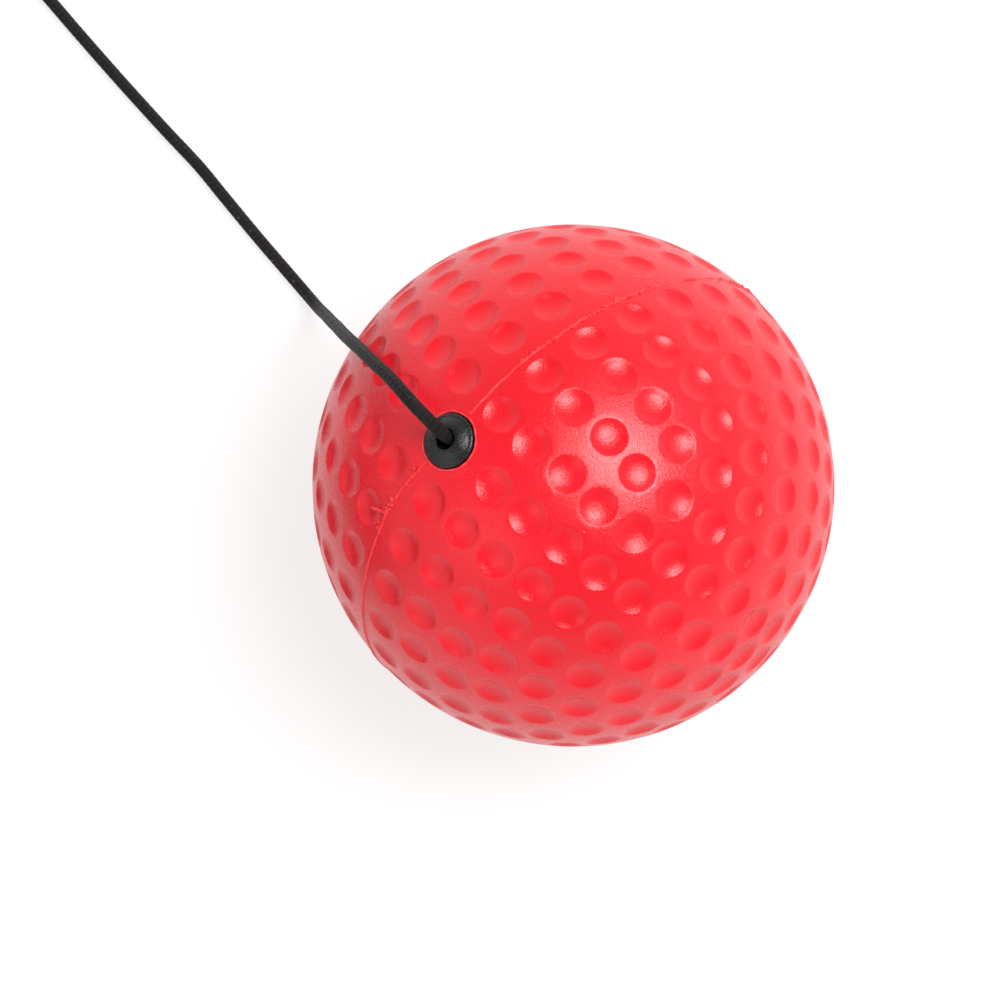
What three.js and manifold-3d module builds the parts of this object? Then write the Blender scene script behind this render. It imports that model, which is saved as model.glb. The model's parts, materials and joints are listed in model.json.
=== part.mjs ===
// Reflex ball headband: a dimpled foam ball on a thin elastic cord, the spare cord wound in a coil,
// a swivel snap hook on the cord's other end, and the adjustable headband that the hook clips to.
// Millimetres, +Z up, everything lying on the plane z = 0.

import * as THREE from 'three';
import { mergeVertices } from 'three/addons/utils/BufferGeometryUtils.js';
import Module from 'manifold-3d';

const wasm = await Module();
wasm.setup();

// ---------------------------------------------------------------- driving dimensions

const GAP = 0.35;

const BALL_RADIUS = 32.5;
const PLUG_AXIS = new THREE.Vector3(-0.462, 0.156, 0.873).normalize();

const CORD_DIAMETER = 1.6;
const CORD_SIDES = 8;
const CORD_STEP = 2.6 * CORD_DIAMETER;
const FLOOR_CORD_Z = 0.85;

const PLUG = { flangeRadius: 3.25, rim: 0.25, dome: 1.0, boreRadius: 1.15, flare: 0.55, wall: 0.75 };
const PLUG_LENGTH = 12.5;
const WASHER = { radius: 2.9, thickness: 0.8 };
const BALL_KNOT = { radius: 2.3, length: 4.2 };

const COIL_CENTRE = [-93.7, 76.1];
const COIL = { innerRadius: 5.4, outerRadius: 12.2, bottom: 1.0, height: 4.9, round: 1.2 };
const TIE = { width: 4, wall: 0.6, angleDeg: 245 };

const BAND = { lateralRadius: 64, frontRadius: 88, frontX: -170.2, frontY: 84.5 };
const PANEL = { halfLength: 105, thickness: 4, bottom: 0, height: 38 };
const STRAP = { thickness: 2, bottom: 4, height: 30 };
const GRIP = { halfLength: 85, thickness: 0.8, height: 3 };
const GRIP_BOTTOMS = { grip_strip_lower: 10, grip_strip_upper: 25 };
const PATCH = { halfLength: 17, thickness: 1.2, bottom: 3, height: 32 };
const CLOSURE = { rightBarAt: -214, leftBarAt: -226, wireRadius: 1.5, bottom: 2, top: 36 };
const FASTENER = { from: -206, to: -154, bottom: 6, height: 26, loopThickness: 1.2, hookThickness: 1.5 };
const RETURN_END = -150;
const SEWN_TURN = { leaves: 4, closes: 9, flatFrom: 13, flatTo: 27, easing: 0.55 };
const PULL_TAB = { length: 14, bottom: 9, height: 20 };

const RING = { reach: 9, barGap: 13, wireRadius: 0.9, corner: 1.6, centreZ: 13 };
const RING_STANDOFF = 7;
const TAB = { height: 10, bottom: 8, flangeHalfLength: 9, layer: 1.0, loopRadius: 2.4, loopHole: 1.3 };

const RING_HEADING_DEG = 18;
const HOOK_HEADING_DEG = -17;
const HOOK_TILT_DEG = 15;
const HOOK_Z = 11;
const HOOK = { outer: 5.4, inner: 2.9, thickness: 3.6, noseU: 1.8, throatEnd: 14.2, length: 19.5 };
const HOOK_SEAT_U = -1.05;
const HOUSING = { top: 6.2, end: 19.1, topBevel: 1.2, underside: -3, throatStep: -1.9 };
const BARREL = { radius: 3.4, cavityRadius: 2.3, cavityFrom: 15.4, cavityTo: 17.6, neckRadius: 1.6 };
const GATE = { pinU: 16, pinV: 4.6, pinRadius: 0.6, hubRadius: 1.5, thickness: 1.3, bottom: 3.4, top: 5.2 };
const GATE_SLOT = { width: 2.0, from: 13.2, to: 18.5, floor: 3.0, mouthFloor: 1.75, levelFrom: 15.9 };
const SPRING = { from: 17.9, to: 18.2, bottom: 3.4, top: 5.8, halfWidth: 0.6 };
const EYE = { stemRadius: 1.2, headRadius: 1.9, centreU: 24.8, outer: 3.8, inner: 2.2, thickness: 2.0 };
const HOOK_KNOT = { loopRadius: 2.2, bodyRadius: 1.7, from: 30.3, to: 34 };

// The cord's resting line from the plug's mouth to the coil, and from the coil to the hook's knot.
const LEAD_ROUTE = [
  [-16.9, 7.0, 63.2], [-18.4, 8.5, 64.2], [-19.7, 9.9, 63.6], [-21.0, 11.4, 61.8], [-22.5, 13.0, 59.0],
  [-24.0, 14.4, 55.5], [-25.7, 16.1, 50.5], [-27.2, 17.5, 44.5], [-28.5, 18.8, 37.0], [-29.7, 20.1, 28.0],
  [-30.9, 21.3, 19.0], [-32.1, 22.6, 10.5], [-33.5, 24.0, 4.2], [-35.4, 26.2, 1.3],
  [-37.9, 29.1, FLOOR_CORD_Z], [-41.6, 33.4, FLOOR_CORD_Z], [-46.4, 39.2, FLOOR_CORD_Z],
  [-49.6, 43.1, FLOOR_CORD_Z], [-54.0, 47.8, FLOOR_CORD_Z], [-60.0, 54.4, FLOOR_CORD_Z],
  [-65.2, 60.3, FLOOR_CORD_Z], [-70.2, 66.1, FLOOR_CORD_Z], [-75.5, 72.2, 1.0], [-80.4, 77.8, 1.3],
];
const TAIL_ROUTE = [
  [-105.2, 83.4, 1.5], [-108.4, 82.5, 1.0], [-112.0, 81.9, FLOOR_CORD_Z], [-116.0, 81.7, FLOOR_CORD_Z],
  [-120.0, 82.0, FLOOR_CORD_Z], [-124.0, 82.9, 1.15],
];

// ---------------------------------------------------------------- materials

function material(color, roughness, metalness = 0) {
  return new THREE.MeshStandardMaterial({ color, roughness, metalness });
}
const RED_FOAM = material(0xe01f2c, 0.5);
const BLACK_PLASTIC = material(0x1b1a19, 0.38);
const BLACK_CORD = material(0x23201e, 0.8);
const BLACK_FABRIC = material(0x26262a, 0.9);
const BLACK_WEBBING = material(0x1d1d20, 0.85);
const GREY_SILICONE = material(0x3c3d42, 0.5);
const GREY_LOOP = material(0x2f3034, 0.95);
const STEEL = material(0xb9bbc0, 0.3, 1);

// ---------------------------------------------------------------- solids

// A closed mesh as a solid that can be joined and cut.
function toSolid(geometry) {
  const bare = geometry.clone();
  bare.deleteAttribute('normal');
  bare.deleteAttribute('uv');
  const merged = mergeVertices(bare, 1e-4);
  const triVerts = [];
  for (let i = 0; i < merged.index.count; i += 3) {
    const [a, b, c] = [merged.index.getX(i), merged.index.getX(i + 1), merged.index.getX(i + 2)];
    if (a !== b && b !== c && c !== a) triVerts.push(a, b, c);
  }
  const vertProperties = new Float32Array(merged.attributes.position.array);
  const mesh = new wasm.Mesh({ numProp: 3, vertProperties, triVerts: new Uint32Array(triVerts) });
  return new wasm.Manifold(mesh);
}

function toGeometry(solid) {
  const mesh = solid.getMesh();
  const geometry = new THREE.BufferGeometry();
  geometry.setAttribute('position', new THREE.BufferAttribute(new Float32Array(mesh.vertProperties), 3));
  geometry.setIndex(new THREE.BufferAttribute(new Uint32Array(mesh.triVerts), 1));
  const flat = geometry.toNonIndexed();
  flat.computeVertexNormals();
  return flat;
}

function joined(...geometries) {
  return toGeometry(geometries.map(toSolid).reduce((whole, piece) => whole.add(piece)));
}

function carved(geometry, ...tools) {
  return toGeometry(tools.map(toSolid).reduce((whole, tool) => whole.subtract(tool), toSolid(geometry)));
}

function addMesh(parent, name, geometry, meshMaterial) {
  const mesh = new THREE.Mesh(geometry, meshMaterial);
  mesh.name = name;
  parent.add(mesh);
  return mesh;
}

// ---------------------------------------------------------------- shapes

// A solid of revolution about +Y, its outline listed from the bottom up.
function lathe(outline, segments = 24) {
  return new THREE.LatheGeometry(outline.map(([r, y]) => new THREE.Vector2(r, y)), segments);
}

function cylinder(radius, from, to, sides = 16) {
  const geometry = new THREE.CylinderGeometry(radius, radius, to - from, sides);
  return geometry.translate(0, (from + to) / 2, 0);
}

// A cylinder along +X from x = from to x = to.
function rod(radius, from, to, sides = 16) {
  return cylinder(radius, from, to, sides).rotateZ(-Math.PI / 2);
}

// A cylinder along +Z from z = from to z = to.
function post(radius, from, to, sides = 16) {
  return cylinder(radius, from, to, sides).rotateX(Math.PI / 2);
}

function box(x0, x1, y0, y1, z0, z1) {
  const geometry = new THREE.BoxGeometry(x1 - x0, y1 - y0, z1 - z0);
  return geometry.translate((x0 + x1) / 2, (y0 + y1) / 2, (z0 + z1) / 2);
}

function extrudeUp(shape, bottom, height, curveSegments = 12) {
  const settings = { depth: height, bevelEnabled: false, steps: 1, curveSegments };
  return new THREE.ExtrudeGeometry(shape, settings).translate(0, 0, bottom);
}

// A round wire through a closed loop of corners, each corner a small ball.
function wireLoop(corners, radius, sides = 12) {
  const up = new THREE.Vector3(0, 1, 0);
  const pieces = [];
  corners.forEach((corner, i) => {
    const next = corners[(i + 1) % corners.length];
    const along = next.clone().sub(corner);
    const middle = corner.clone().add(next).multiplyScalar(0.5);
    const bar = new THREE.CylinderGeometry(radius, radius, along.length(), sides);
    bar.applyQuaternion(new THREE.Quaternion().setFromUnitVectors(up, along.normalize()));
    bar.translate(...middle.toArray());
    const ball = new THREE.SphereGeometry(radius * 1.02, sides, 8);
    ball.translate(...corner.toArray());
    pieces.push(bar, ball);
  });
  return joined(...pieces);
}

// ---------------------------------------------------------------- cord

function cordTube(points) {
  const curve = new THREE.CatmullRomCurve3(points, false, 'centripetal');
  const section = new THREE.Shape();
  for (let i = 0; i < CORD_SIDES; i += 1) {
    const angle = ((i + 0.5) / CORD_SIDES) * 2 * Math.PI;
    const x = (CORD_DIAMETER / 2) * Math.cos(angle);
    const y = (CORD_DIAMETER / 2) * Math.sin(angle);
    if (i === 0) section.moveTo(x, y);
    else section.lineTo(x, y);
  }
  const steps = Math.ceil(curve.getLength() / CORD_STEP);
  const settings = { steps, extrudePath: curve, bevelEnabled: false, curveSegments: 1 };
  return new THREE.ExtrudeGeometry(section, settings);
}

function toVector([x, y, z]) {
  return new THREE.Vector3(x, y, z);
}

// ---------------------------------------------------------------- ball

// Heights along the plug's axis, from the ball's centre.
const flangeSeat = BALL_RADIUS - 0.9;
const flangeBottom = flangeSeat + GAP;
const plugTop = BALL_RADIUS + PLUG.dome;
const plugBottom = BALL_RADIUS - PLUG_LENGTH;
const washerTop = plugBottom - GAP;
const washerBottom = washerTop - WASHER.thickness;
const knotTop = washerBottom - GAP;
const knotBottom = knotTop - BALL_KNOT.length;
const pocketTop = washerTop + GAP;
const pocketBottom = knotBottom - GAP;
const leadStart = knotTop + GAP;
const leadLeaves = plugTop - 0.4;
const ballCentre = new THREE.Vector3(0, 0, BALL_RADIUS);

function alongPlug(distance) {
  return ballCentre.clone().addScaledVector(PLUG_AXIS, distance);
}

function ballFoam() {
  const seatRadius = PLUG.flangeRadius + GAP;
  const boreRadius = PLUG.boreRadius + PLUG.wall + GAP;
  const pocketRadius = WASHER.radius + GAP;
  const seatEdge = Math.acos(seatRadius / BALL_RADIUS);
  const rings = 26;
  const outline = [];
  for (let i = 0; i <= rings; i += 1) {
    const latitude = -Math.PI / 2 + (i / rings) * (seatEdge + Math.PI / 2);
    outline.push([i === 0 ? 0 : BALL_RADIUS * Math.cos(latitude), BALL_RADIUS * Math.sin(latitude)]);
  }
  outline.push([seatRadius, flangeSeat], [boreRadius, flangeSeat], [boreRadius, pocketTop]);
  outline.push([pocketRadius, pocketTop], [pocketRadius, pocketBottom], [0, pocketBottom]);
  return lathe(outline, 44);
}

function cordPlug() {
  const sleeveRadius = PLUG.boreRadius + PLUG.wall;
  const outline = [[PLUG.boreRadius, plugBottom], [sleeveRadius, plugBottom], [sleeveRadius, flangeBottom]];
  outline.push([PLUG.flangeRadius, flangeBottom], [PLUG.flangeRadius, BALL_RADIUS + PLUG.rim]);
  const mouthRadius = PLUG.boreRadius + PLUG.flare;
  for (const share of [0.35, 0.7, 1]) {
    const r = PLUG.flangeRadius + share * (mouthRadius - PLUG.flangeRadius);
    const rise = PLUG.rim + (PLUG.dome - PLUG.rim) * Math.sin((share * Math.PI) / 2);
    outline.push([r, BALL_RADIUS + rise]);
  }
  outline.push([PLUG.boreRadius, plugTop - 2 * PLUG.flare], [PLUG.boreRadius, plugBottom]);
  return lathe(outline, 24);
}

function stopWasher() {
  const hole = PLUG.boreRadius;
  const { radius } = WASHER;
  const outline = [[hole, washerBottom], [radius, washerBottom], [radius, washerTop]];
  outline.push([hole, washerTop], [hole, washerBottom]);
  return lathe(outline);
}

// A knot's outer shape about +Y: a short barrel with rounded shoulders.
function knotBarrel(radius, from, to) {
  const shoulder = 0.25 * (to - from);
  const endRadius = 0.6 * radius;
  const outline = [[0, from], [endRadius, from], [radius, from + shoulder]];
  outline.push([radius, to - shoulder], [endRadius, to], [0, to]);
  return lathe(outline, 14);
}

function addBall(parent) {
  const ball = new THREE.Group();
  ball.position.copy(ballCentre);
  ball.quaternion.setFromUnitVectors(new THREE.Vector3(0, 1, 0), PLUG_AXIS);
  parent.add(ball);
  addMesh(ball, 'ball_foam', ballFoam(), RED_FOAM);
  addMesh(ball, 'cord_plug', cordPlug(), BLACK_PLASTIC);
  addMesh(ball, 'stop_washer', stopWasher(), BLACK_PLASTIC);
  addMesh(ball, 'ball_knot', knotBarrel(BALL_KNOT.radius, knotBottom, knotTop), BLACK_CORD);
}

// ---------------------------------------------------------------- coil and its tie

function coilRing() {
  const { innerRadius: inner, outerRadius: outer, bottom, height, round } = COIL;
  const top = bottom + height;
  const outline = [[inner, bottom + round], [inner + round, bottom], [outer - round, bottom]];
  outline.push([outer, bottom + round], [outer, top - round], [outer - round, top]);
  outline.push([inner + round, top], [inner, top - round], [inner, bottom + round]);
  return lathe(outline, 36).rotateX(Math.PI / 2);
}

// A flat strap closed around the coil's bundle.
function coilTie() {
  const { wall, width } = TIE;
  const x0 = Math.sqrt(COIL.innerRadius ** 2 - (width / 2) ** 2) - GAP;
  const x1 = COIL.outerRadius + GAP;
  const z0 = COIL.bottom - GAP;
  const z1 = COIL.bottom + COIL.height + GAP;
  const outside = box(x0 - wall, x1 + wall, -width / 2, width / 2, z0 - wall, z1 + wall);
  return carved(outside, box(x0, x1, -width, width, z0, z1));
}

function addCoil(parent) {
  const coil = new THREE.Group();
  coil.position.set(...COIL_CENTRE, 0);
  parent.add(coil);
  addMesh(coil, 'cord_coil', coilRing(), BLACK_CORD);
  addMesh(coil, 'coil_tie', coilTie(), BLACK_WEBBING).rotation.z = THREE.MathUtils.degToRad(TIE.angleDeg);
}

// ---------------------------------------------------------------- headband

const bandCentre = new THREE.Vector3(BAND.frontX, BAND.frontY - BAND.frontRadius - PANEL.thickness / 2, 0);
const { lateralRadius, frontRadius } = BAND;
const bandCurve = new THREE.EllipseCurve(0, 0, lateralRadius, frontRadius, Math.PI / 2, 2.5 * Math.PI);
bandCurve.arcLengthDivisions = 2000;
const bandLength = bandCurve.getLength();

// The point at a distance round the band from its front, offset outwards from the middle of its thickness.
function onBand(distance, offset) {
  const share = (((distance / bandLength) % 1) + 1) % 1;
  const point = bandCurve.getPointAt(share);
  const tangent = bandCurve.getTangentAt(share);
  return new THREE.Vector2(point.x + tangent.y * offset, point.y - tangent.x * offset);
}

// Points round the band at one offset, about one for each `pitch` of length.
function runAlong(from, to, offset, pitch = 8) {
  const count = Math.max(1, Math.ceil(Math.abs(to - from) / pitch));
  return Array.from({ length: count + 1 }, (_, i) => onBand(from + ((to - from) * i) / count, offset));
}

// A standing strip of even thickness whose middle follows the points in plan.
function ribbon(points, thickness, bottom, height) {
  const left = [];
  const right = [];
  points.forEach((point, i) => {
    const before = points[Math.max(0, i - 1)];
    const after = points[Math.min(points.length - 1, i + 1)];
    const side = new THREE.Vector2(before.y - after.y, after.x - before.x).setLength(thickness / 2);
    left.push(point.clone().add(side));
    right.push(point.clone().sub(side));
  });
  return extrudeUp(new THREE.Shape([...right, ...left.reverse()]), bottom, height);
}

// The strap's turn round a bar, from the inner layer out to the returning one.
function turnRound(barAt, sign, barOffset, radius, count = 8) {
  return Array.from({ length: count - 1 }, (_, i) => {
    const angle = ((i + 1) / count) * Math.PI;
    return onBand(barAt + sign * radius * Math.sin(angle), barOffset - radius * Math.cos(angle));
  });
}

const barOffset = STRAP.thickness / 2 + GAP + CLOSURE.wireRadius;
const turnRadius = CLOSURE.wireRadius + GAP + STRAP.thickness / 2;
const returnOffset = barOffset + turnRadius;

function rightStrap() {
  const start = -(PANEL.halfLength + GAP);
  const barAt = CLOSURE.rightBarAt;
  const out = runAlong(start, barAt, 0);
  const turn = turnRound(barAt, -1, barOffset, turnRadius);
  const back = runAlong(barAt, RETURN_END, returnOffset);
  return ribbon([...out, ...turn, ...back], STRAP.thickness, STRAP.bottom, STRAP.height);
}

function leftStrap() {
  const barAt = CLOSURE.leftBarAt + bandLength;
  const start = PANEL.halfLength + GAP;
  const sewnOffset = STRAP.thickness + GAP;
  const { leaves, closes, flatFrom, flatTo, easing } = SEWN_TURN;
  const out = runAlong(start, barAt, 0);
  const turn = [...turnRound(barAt, 1, barOffset, turnRadius), onBand(barAt, returnOffset)];
  const fall = [onBand(barAt - leaves, returnOffset - easing), onBand(barAt - closes, sewnOffset + easing)];
  const sewn = runAlong(barAt - flatFrom, barAt - flatTo, sewnOffset);
  return ribbon([...out, ...turn, ...fall, ...sewn], STRAP.thickness, STRAP.bottom, STRAP.height);
}

function closureRing() {
  const { rightBarAt, leftBarAt, wireRadius, bottom, top } = CLOSURE;
  const right = onBand(rightBarAt, barOffset);
  const left = onBand(leftBarAt, barOffset);
  const corners = [[left, bottom], [right, bottom], [right, top], [left, top]];
  return wireLoop(corners.map(([p, z]) => new THREE.Vector3(p.x, p.y, z)), wireRadius);
}

function pullTab() {
  const from = RETURN_END + GAP;
  const run = runAlong(from, from + PULL_TAB.length, returnOffset, 4);
  return ribbon(run, STRAP.thickness, PULL_TAB.bottom, PULL_TAB.height);
}

// The webbing fold that holds the ring's near bar, its base sewn on the front patch.
function ringTab() {
  const { flangeHalfLength, layer, loopRadius, loopHole, bottom, height } = TAB;
  const baseY = BAND.frontRadius + PANEL.thickness / 2 + PATCH.thickness + 2 * GAP;
  const barY = BAND.frontRadius + PANEL.thickness / 2 + RING_STANDOFF;
  const body = joined(
    box(-flangeHalfLength, flangeHalfLength, baseY, baseY + layer, bottom, bottom + height),
    box(-layer, layer, baseY + layer / 2, barY - loopHole, bottom, bottom + height),
    post(loopRadius, bottom, bottom + height, 20).translate(0, barY, 0),
  );
  return carved(body, post(loopHole, bottom - 1, bottom + height + 1, 20).translate(0, barY, 0));
}

function addHeadband(parent) {
  const band = new THREE.Group();
  band.position.copy(bandCentre);
  parent.add(band);
  const halfPanel = PANEL.thickness / 2;
  const panelRun = runAlong(-PANEL.halfLength, PANEL.halfLength, 0);
  addMesh(band, 'front_panel', ribbon(panelRun, PANEL.thickness, PANEL.bottom, PANEL.height), BLACK_FABRIC);
  const gripOffset = -(halfPanel + GAP + GRIP.thickness / 2);
  const gripRun = runAlong(-GRIP.halfLength, GRIP.halfLength, gripOffset);
  for (const [name, bottom] of Object.entries(GRIP_BOTTOMS)) {
    addMesh(band, name, ribbon(gripRun, GRIP.thickness, bottom, GRIP.height), GREY_SILICONE);
  }
  const patchRun = runAlong(-PATCH.halfLength, PATCH.halfLength, halfPanel + GAP + PATCH.thickness / 2);
  addMesh(band, 'front_patch', ribbon(patchRun, PATCH.thickness, PATCH.bottom, PATCH.height), BLACK_FABRIC);
  addMesh(band, 'ring_tab', ringTab(), BLACK_WEBBING);
  addMesh(band, 'strap_left', leftStrap(), BLACK_WEBBING);
  addMesh(band, 'strap_right', rightStrap(), BLACK_WEBBING);
  addMesh(band, 'closure_ring', closureRing(), BLACK_PLASTIC);

  const loopOffset = STRAP.thickness / 2 + GAP + FASTENER.loopThickness / 2;
  const hookOffset = returnOffset - STRAP.thickness / 2 - GAP - FASTENER.hookThickness / 2;
  const { from, to, bottom, height, loopThickness, hookThickness } = FASTENER;
  const loopTape = ribbon(runAlong(from, to, loopOffset), loopThickness, bottom, height);
  const hookTape = ribbon(runAlong(from, to, hookOffset), hookThickness, bottom, height);
  addMesh(band, 'loop_patch', loopTape, GREY_LOOP);
  addMesh(band, 'hook_patch', hookTape, GREY_SILICONE);
  addMesh(band, 'pull_tab', pullTab(), BLACK_PLASTIC);
}

// ---------------------------------------------------------------- ring and snap hook

const nearBar = new THREE.Vector3(BAND.frontX, BAND.frontY + RING_STANDOFF, RING.centreZ);
const ringHeading = THREE.MathUtils.degToRad(RING_HEADING_DEG);
const hookHeading = THREE.MathUtils.degToRad(HOOK_HEADING_DEG);
const hookTilt = THREE.MathUtils.degToRad(HOOK_TILT_DEG);
const farBar = nearBar.clone();
farBar.x += RING.reach * Math.cos(ringHeading);
farBar.y += RING.reach * Math.sin(ringHeading);

// A D-shaped ring standing on edge: local +X from its near bar to its far one.
function addRing(parent) {
  const { reach, barGap, corner, wireRadius } = RING;
  const half = barGap / 2;
  const outline = [[0, -half], [reach - corner, -half], [reach, -half + corner]];
  outline.push([reach, half - corner], [reach - corner, half], [0, half]);
  const ring = new THREE.Group();
  ring.position.copy(nearBar);
  ring.rotation.z = ringHeading;
  parent.add(ring);
  const corners = outline.map(([x, z]) => new THREE.Vector3(x, 0, z));
  addMesh(ring, 'd_ring', wireLoop(corners, wireRadius), STEEL);
}

// The hook's frame: +X (u) from its bow to its eye, +Y (v) across it towards the gate,
// and +Z (w) out of its flat.
function hookBody() {
  const { outer, inner, thickness, noseU, throatEnd, length } = HOOK;
  const { top, end, topBevel, underside, throatStep } = HOUSING;
  const outline = new THREE.Shape();
  outline.moveTo(noseU, outer);
  outline.lineTo(0, outer);
  outline.absarc(0, 0, outer, Math.PI / 2, 1.5 * Math.PI, false);
  outline.lineTo(throatEnd, -outer);
  outline.quadraticCurveTo(end, -outer, end, underside);
  outline.lineTo(end, top - topBevel);
  outline.lineTo(end - topBevel, top);
  outline.lineTo(throatEnd, top);
  outline.lineTo(throatEnd, throatStep);
  outline.lineTo(throatEnd - 1, -inner);
  outline.lineTo(0, -inner);
  outline.absarc(0, 0, inner, 1.5 * Math.PI, Math.PI / 2, true);
  outline.lineTo(noseU, inner);
  const plate = extrudeUp(outline, -thickness / 2, thickness);
  const body = joined(plate, rod(BARREL.radius, throatEnd, length, 20));
  const pinHole = post(GATE.pinRadius + GAP, -thickness, thickness, 14).translate(GATE.pinU, GATE.pinV, 0);
  const cavity = rod(BARREL.cavityRadius, BARREL.cavityFrom, BARREL.cavityTo, 18);
  const neck = rod(BARREL.neckRadius, BARREL.cavityTo - 0.5, length + 1, 18);
  return carved(body, gateSlot(), pinHole, cavity, neck);
}

// The slot that the gate swings in: its floor falls away towards the throat, under the opened gate.
function gateSlot() {
  const { width, from, to, floor, mouthFloor, levelFrom } = GATE_SLOT;
  const clearTop = HOUSING.top + 1;
  const outline = new THREE.Shape();
  outline.moveTo(from, mouthFloor);
  outline.lineTo(levelFrom, floor);
  outline.lineTo(to, floor);
  outline.lineTo(to, clearTop);
  outline.lineTo(from, clearTop);
  return extrudeUp(outline, -width / 2, width);
}

function snapGate() {
  const { pinU, pinV, pinRadius, hubRadius, thickness, bottom, top } = GATE;
  const tip = HOOK.noseU + GAP;
  const lever = box(tip, pinU, bottom, top, -thickness / 2, thickness / 2);
  const hub = post(hubRadius, -thickness / 2, thickness / 2, 18).translate(pinU, pinV, 0);
  const bore = post(pinRadius + GAP, -thickness, thickness, 14).translate(pinU, pinV, 0);
  return carved(joined(lever, hub), bore);
}

function gatePin() {
  const reach = HOOK.thickness / 2;
  return post(GATE.pinRadius, -reach, reach, 14).translate(GATE.pinU, GATE.pinV, 0);
}

function gateSpring() {
  const { from, to, bottom, top, halfWidth } = SPRING;
  return box(from, to, bottom, top, -halfWidth, halfWidth);
}

function swivelEye() {
  const { stemRadius, headRadius, centreU, outer, inner, thickness } = EYE;
  const head = rod(headRadius, BARREL.cavityFrom + GAP, BARREL.cavityTo - GAP, 18);
  const stem = rod(stemRadius, BARREL.cavityFrom + 1, centreU - inner - 0.4, 14);
  const ring = post(outer, -thickness / 2, thickness / 2, 28).translate(centreU, 0, 0);
  const hole = post(inner, -thickness, thickness, 24).translate(centreU, 0, 0);
  return carved(joined(head, stem, ring), hole);
}

// The cord's loop through the eye, drawn up in a knot beyond it.
function hookKnot() {
  const { loopRadius, bodyRadius, from, to } = HOOK_KNOT;
  const rimU = EYE.centreU + (EYE.outer + EYE.inner) / 2;
  const loop = new THREE.TorusGeometry(loopRadius, CORD_DIAMETER / 2, 10, 24);
  loop.rotateX(Math.PI / 2).translate(rimU, 0, 0);
  return joined(loop, knotBarrel(bodyRadius, from, to).rotateZ(-Math.PI / 2));
}

// The hook rests with the inside of its bow against the ring's far bar.
const hook = new THREE.Group();
hook.rotation.set(0, hookTilt, hookHeading, 'ZYX');
const hookX = farBar.x - HOOK_SEAT_U * Math.cos(hookHeading);
const hookY = farBar.y - HOOK_SEAT_U * Math.sin(hookHeading);
hook.position.set(hookX, hookY, HOOK_Z);

function addHook(parent) {
  parent.add(hook);
  addMesh(hook, 'snap_hook_body', hookBody(), STEEL);
  addMesh(hook, 'snap_gate', snapGate(), STEEL);
  addMesh(hook, 'gate_pin', gatePin(), STEEL);
  addMesh(hook, 'gate_spring', gateSpring(), STEEL);
  addMesh(hook, 'swivel_eye', swivelEye(), STEEL);
  addMesh(hook, 'hook_knot', hookKnot(), BLACK_CORD);
}

// ---------------------------------------------------------------- assembly

const laidOut = new THREE.Group();
addBall(laidOut);
addCoil(laidOut);
addHeadband(laidOut);
addRing(laidOut);
addHook(laidOut);

const mouth = [leadStart, leadStart + 5, leadLeaves - 2.6, leadLeaves].map(alongPlug);
addMesh(laidOut, 'cord_lead', cordTube([...mouth, ...LEAD_ROUTE.map(toVector)]), BLACK_CORD);
hook.updateMatrixWorld(true);
const knotEnd = new THREE.Vector3(HOOK_KNOT.to + GAP, 0, 0).applyMatrix4(hook.matrixWorld);
const knotApproach = new THREE.Vector3(HOOK_KNOT.to + 2.4, 0, 0).applyMatrix4(hook.matrixWorld);
addMesh(laidOut, 'cord_tail', cordTube([...TAIL_ROUTE.map(toVector), knotApproach, knotEnd]), BLACK_CORD);

// The origin is under the middle of everything but the cord.
const cordNodes = ['cord_lead', 'cord_coil', 'coil_tie', 'cord_tail', 'ball_knot', 'hook_knot'];
const hardware = new THREE.Box3();
laidOut.updateMatrixWorld(true);
laidOut.traverse((item) => {
  if (item.isMesh && !cordNodes.includes(item.name)) hardware.expandByObject(item, true);
});
laidOut.position.x = -(hardware.min.x + hardware.max.x) / 2;
laidOut.position.y = -(hardware.min.y + hardware.max.y) / 2;

const reflexBallHeadband = new THREE.Group();
reflexBallHeadband.add(laidOut);
export default reflexBallHeadband;
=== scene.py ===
import itertools
import json
import math

import bpy
import numpy as np
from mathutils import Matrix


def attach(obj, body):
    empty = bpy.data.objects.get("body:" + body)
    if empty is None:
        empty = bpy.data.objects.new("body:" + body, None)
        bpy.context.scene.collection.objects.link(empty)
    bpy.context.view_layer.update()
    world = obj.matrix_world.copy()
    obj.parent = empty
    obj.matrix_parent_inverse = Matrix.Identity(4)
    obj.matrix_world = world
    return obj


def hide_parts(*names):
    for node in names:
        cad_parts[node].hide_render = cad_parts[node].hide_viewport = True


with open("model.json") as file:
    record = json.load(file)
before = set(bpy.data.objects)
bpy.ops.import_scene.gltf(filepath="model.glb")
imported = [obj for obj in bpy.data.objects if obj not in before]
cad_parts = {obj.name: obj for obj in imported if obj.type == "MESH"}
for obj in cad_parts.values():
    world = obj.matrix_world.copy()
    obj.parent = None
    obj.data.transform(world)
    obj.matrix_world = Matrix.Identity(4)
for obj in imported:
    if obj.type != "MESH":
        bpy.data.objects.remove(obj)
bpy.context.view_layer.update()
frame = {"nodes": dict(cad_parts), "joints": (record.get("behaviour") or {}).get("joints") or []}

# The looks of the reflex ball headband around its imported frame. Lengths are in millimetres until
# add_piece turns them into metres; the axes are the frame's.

MM = 0.001

JOINTS = {joint["name"]: joint for joint in frame["joints"]}


def pivot(joint):
    return np.array(JOINTS[joint]["pos_m"]) / MM


def axis(joint):
    direction = np.array(JOINTS[joint]["axis"], float)
    return direction / np.linalg.norm(direction)


# ------------------------------------------------------------------ driving dimensions

BALL_RADIUS = 32.5
BALL_CENTRE = pivot("ball_spin")
PLUG_AXIS = axis("ball_spin")
UNDER_BALL = np.array([BALL_CENTRE[0], BALL_CENTRE[1], 0.0])

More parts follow.
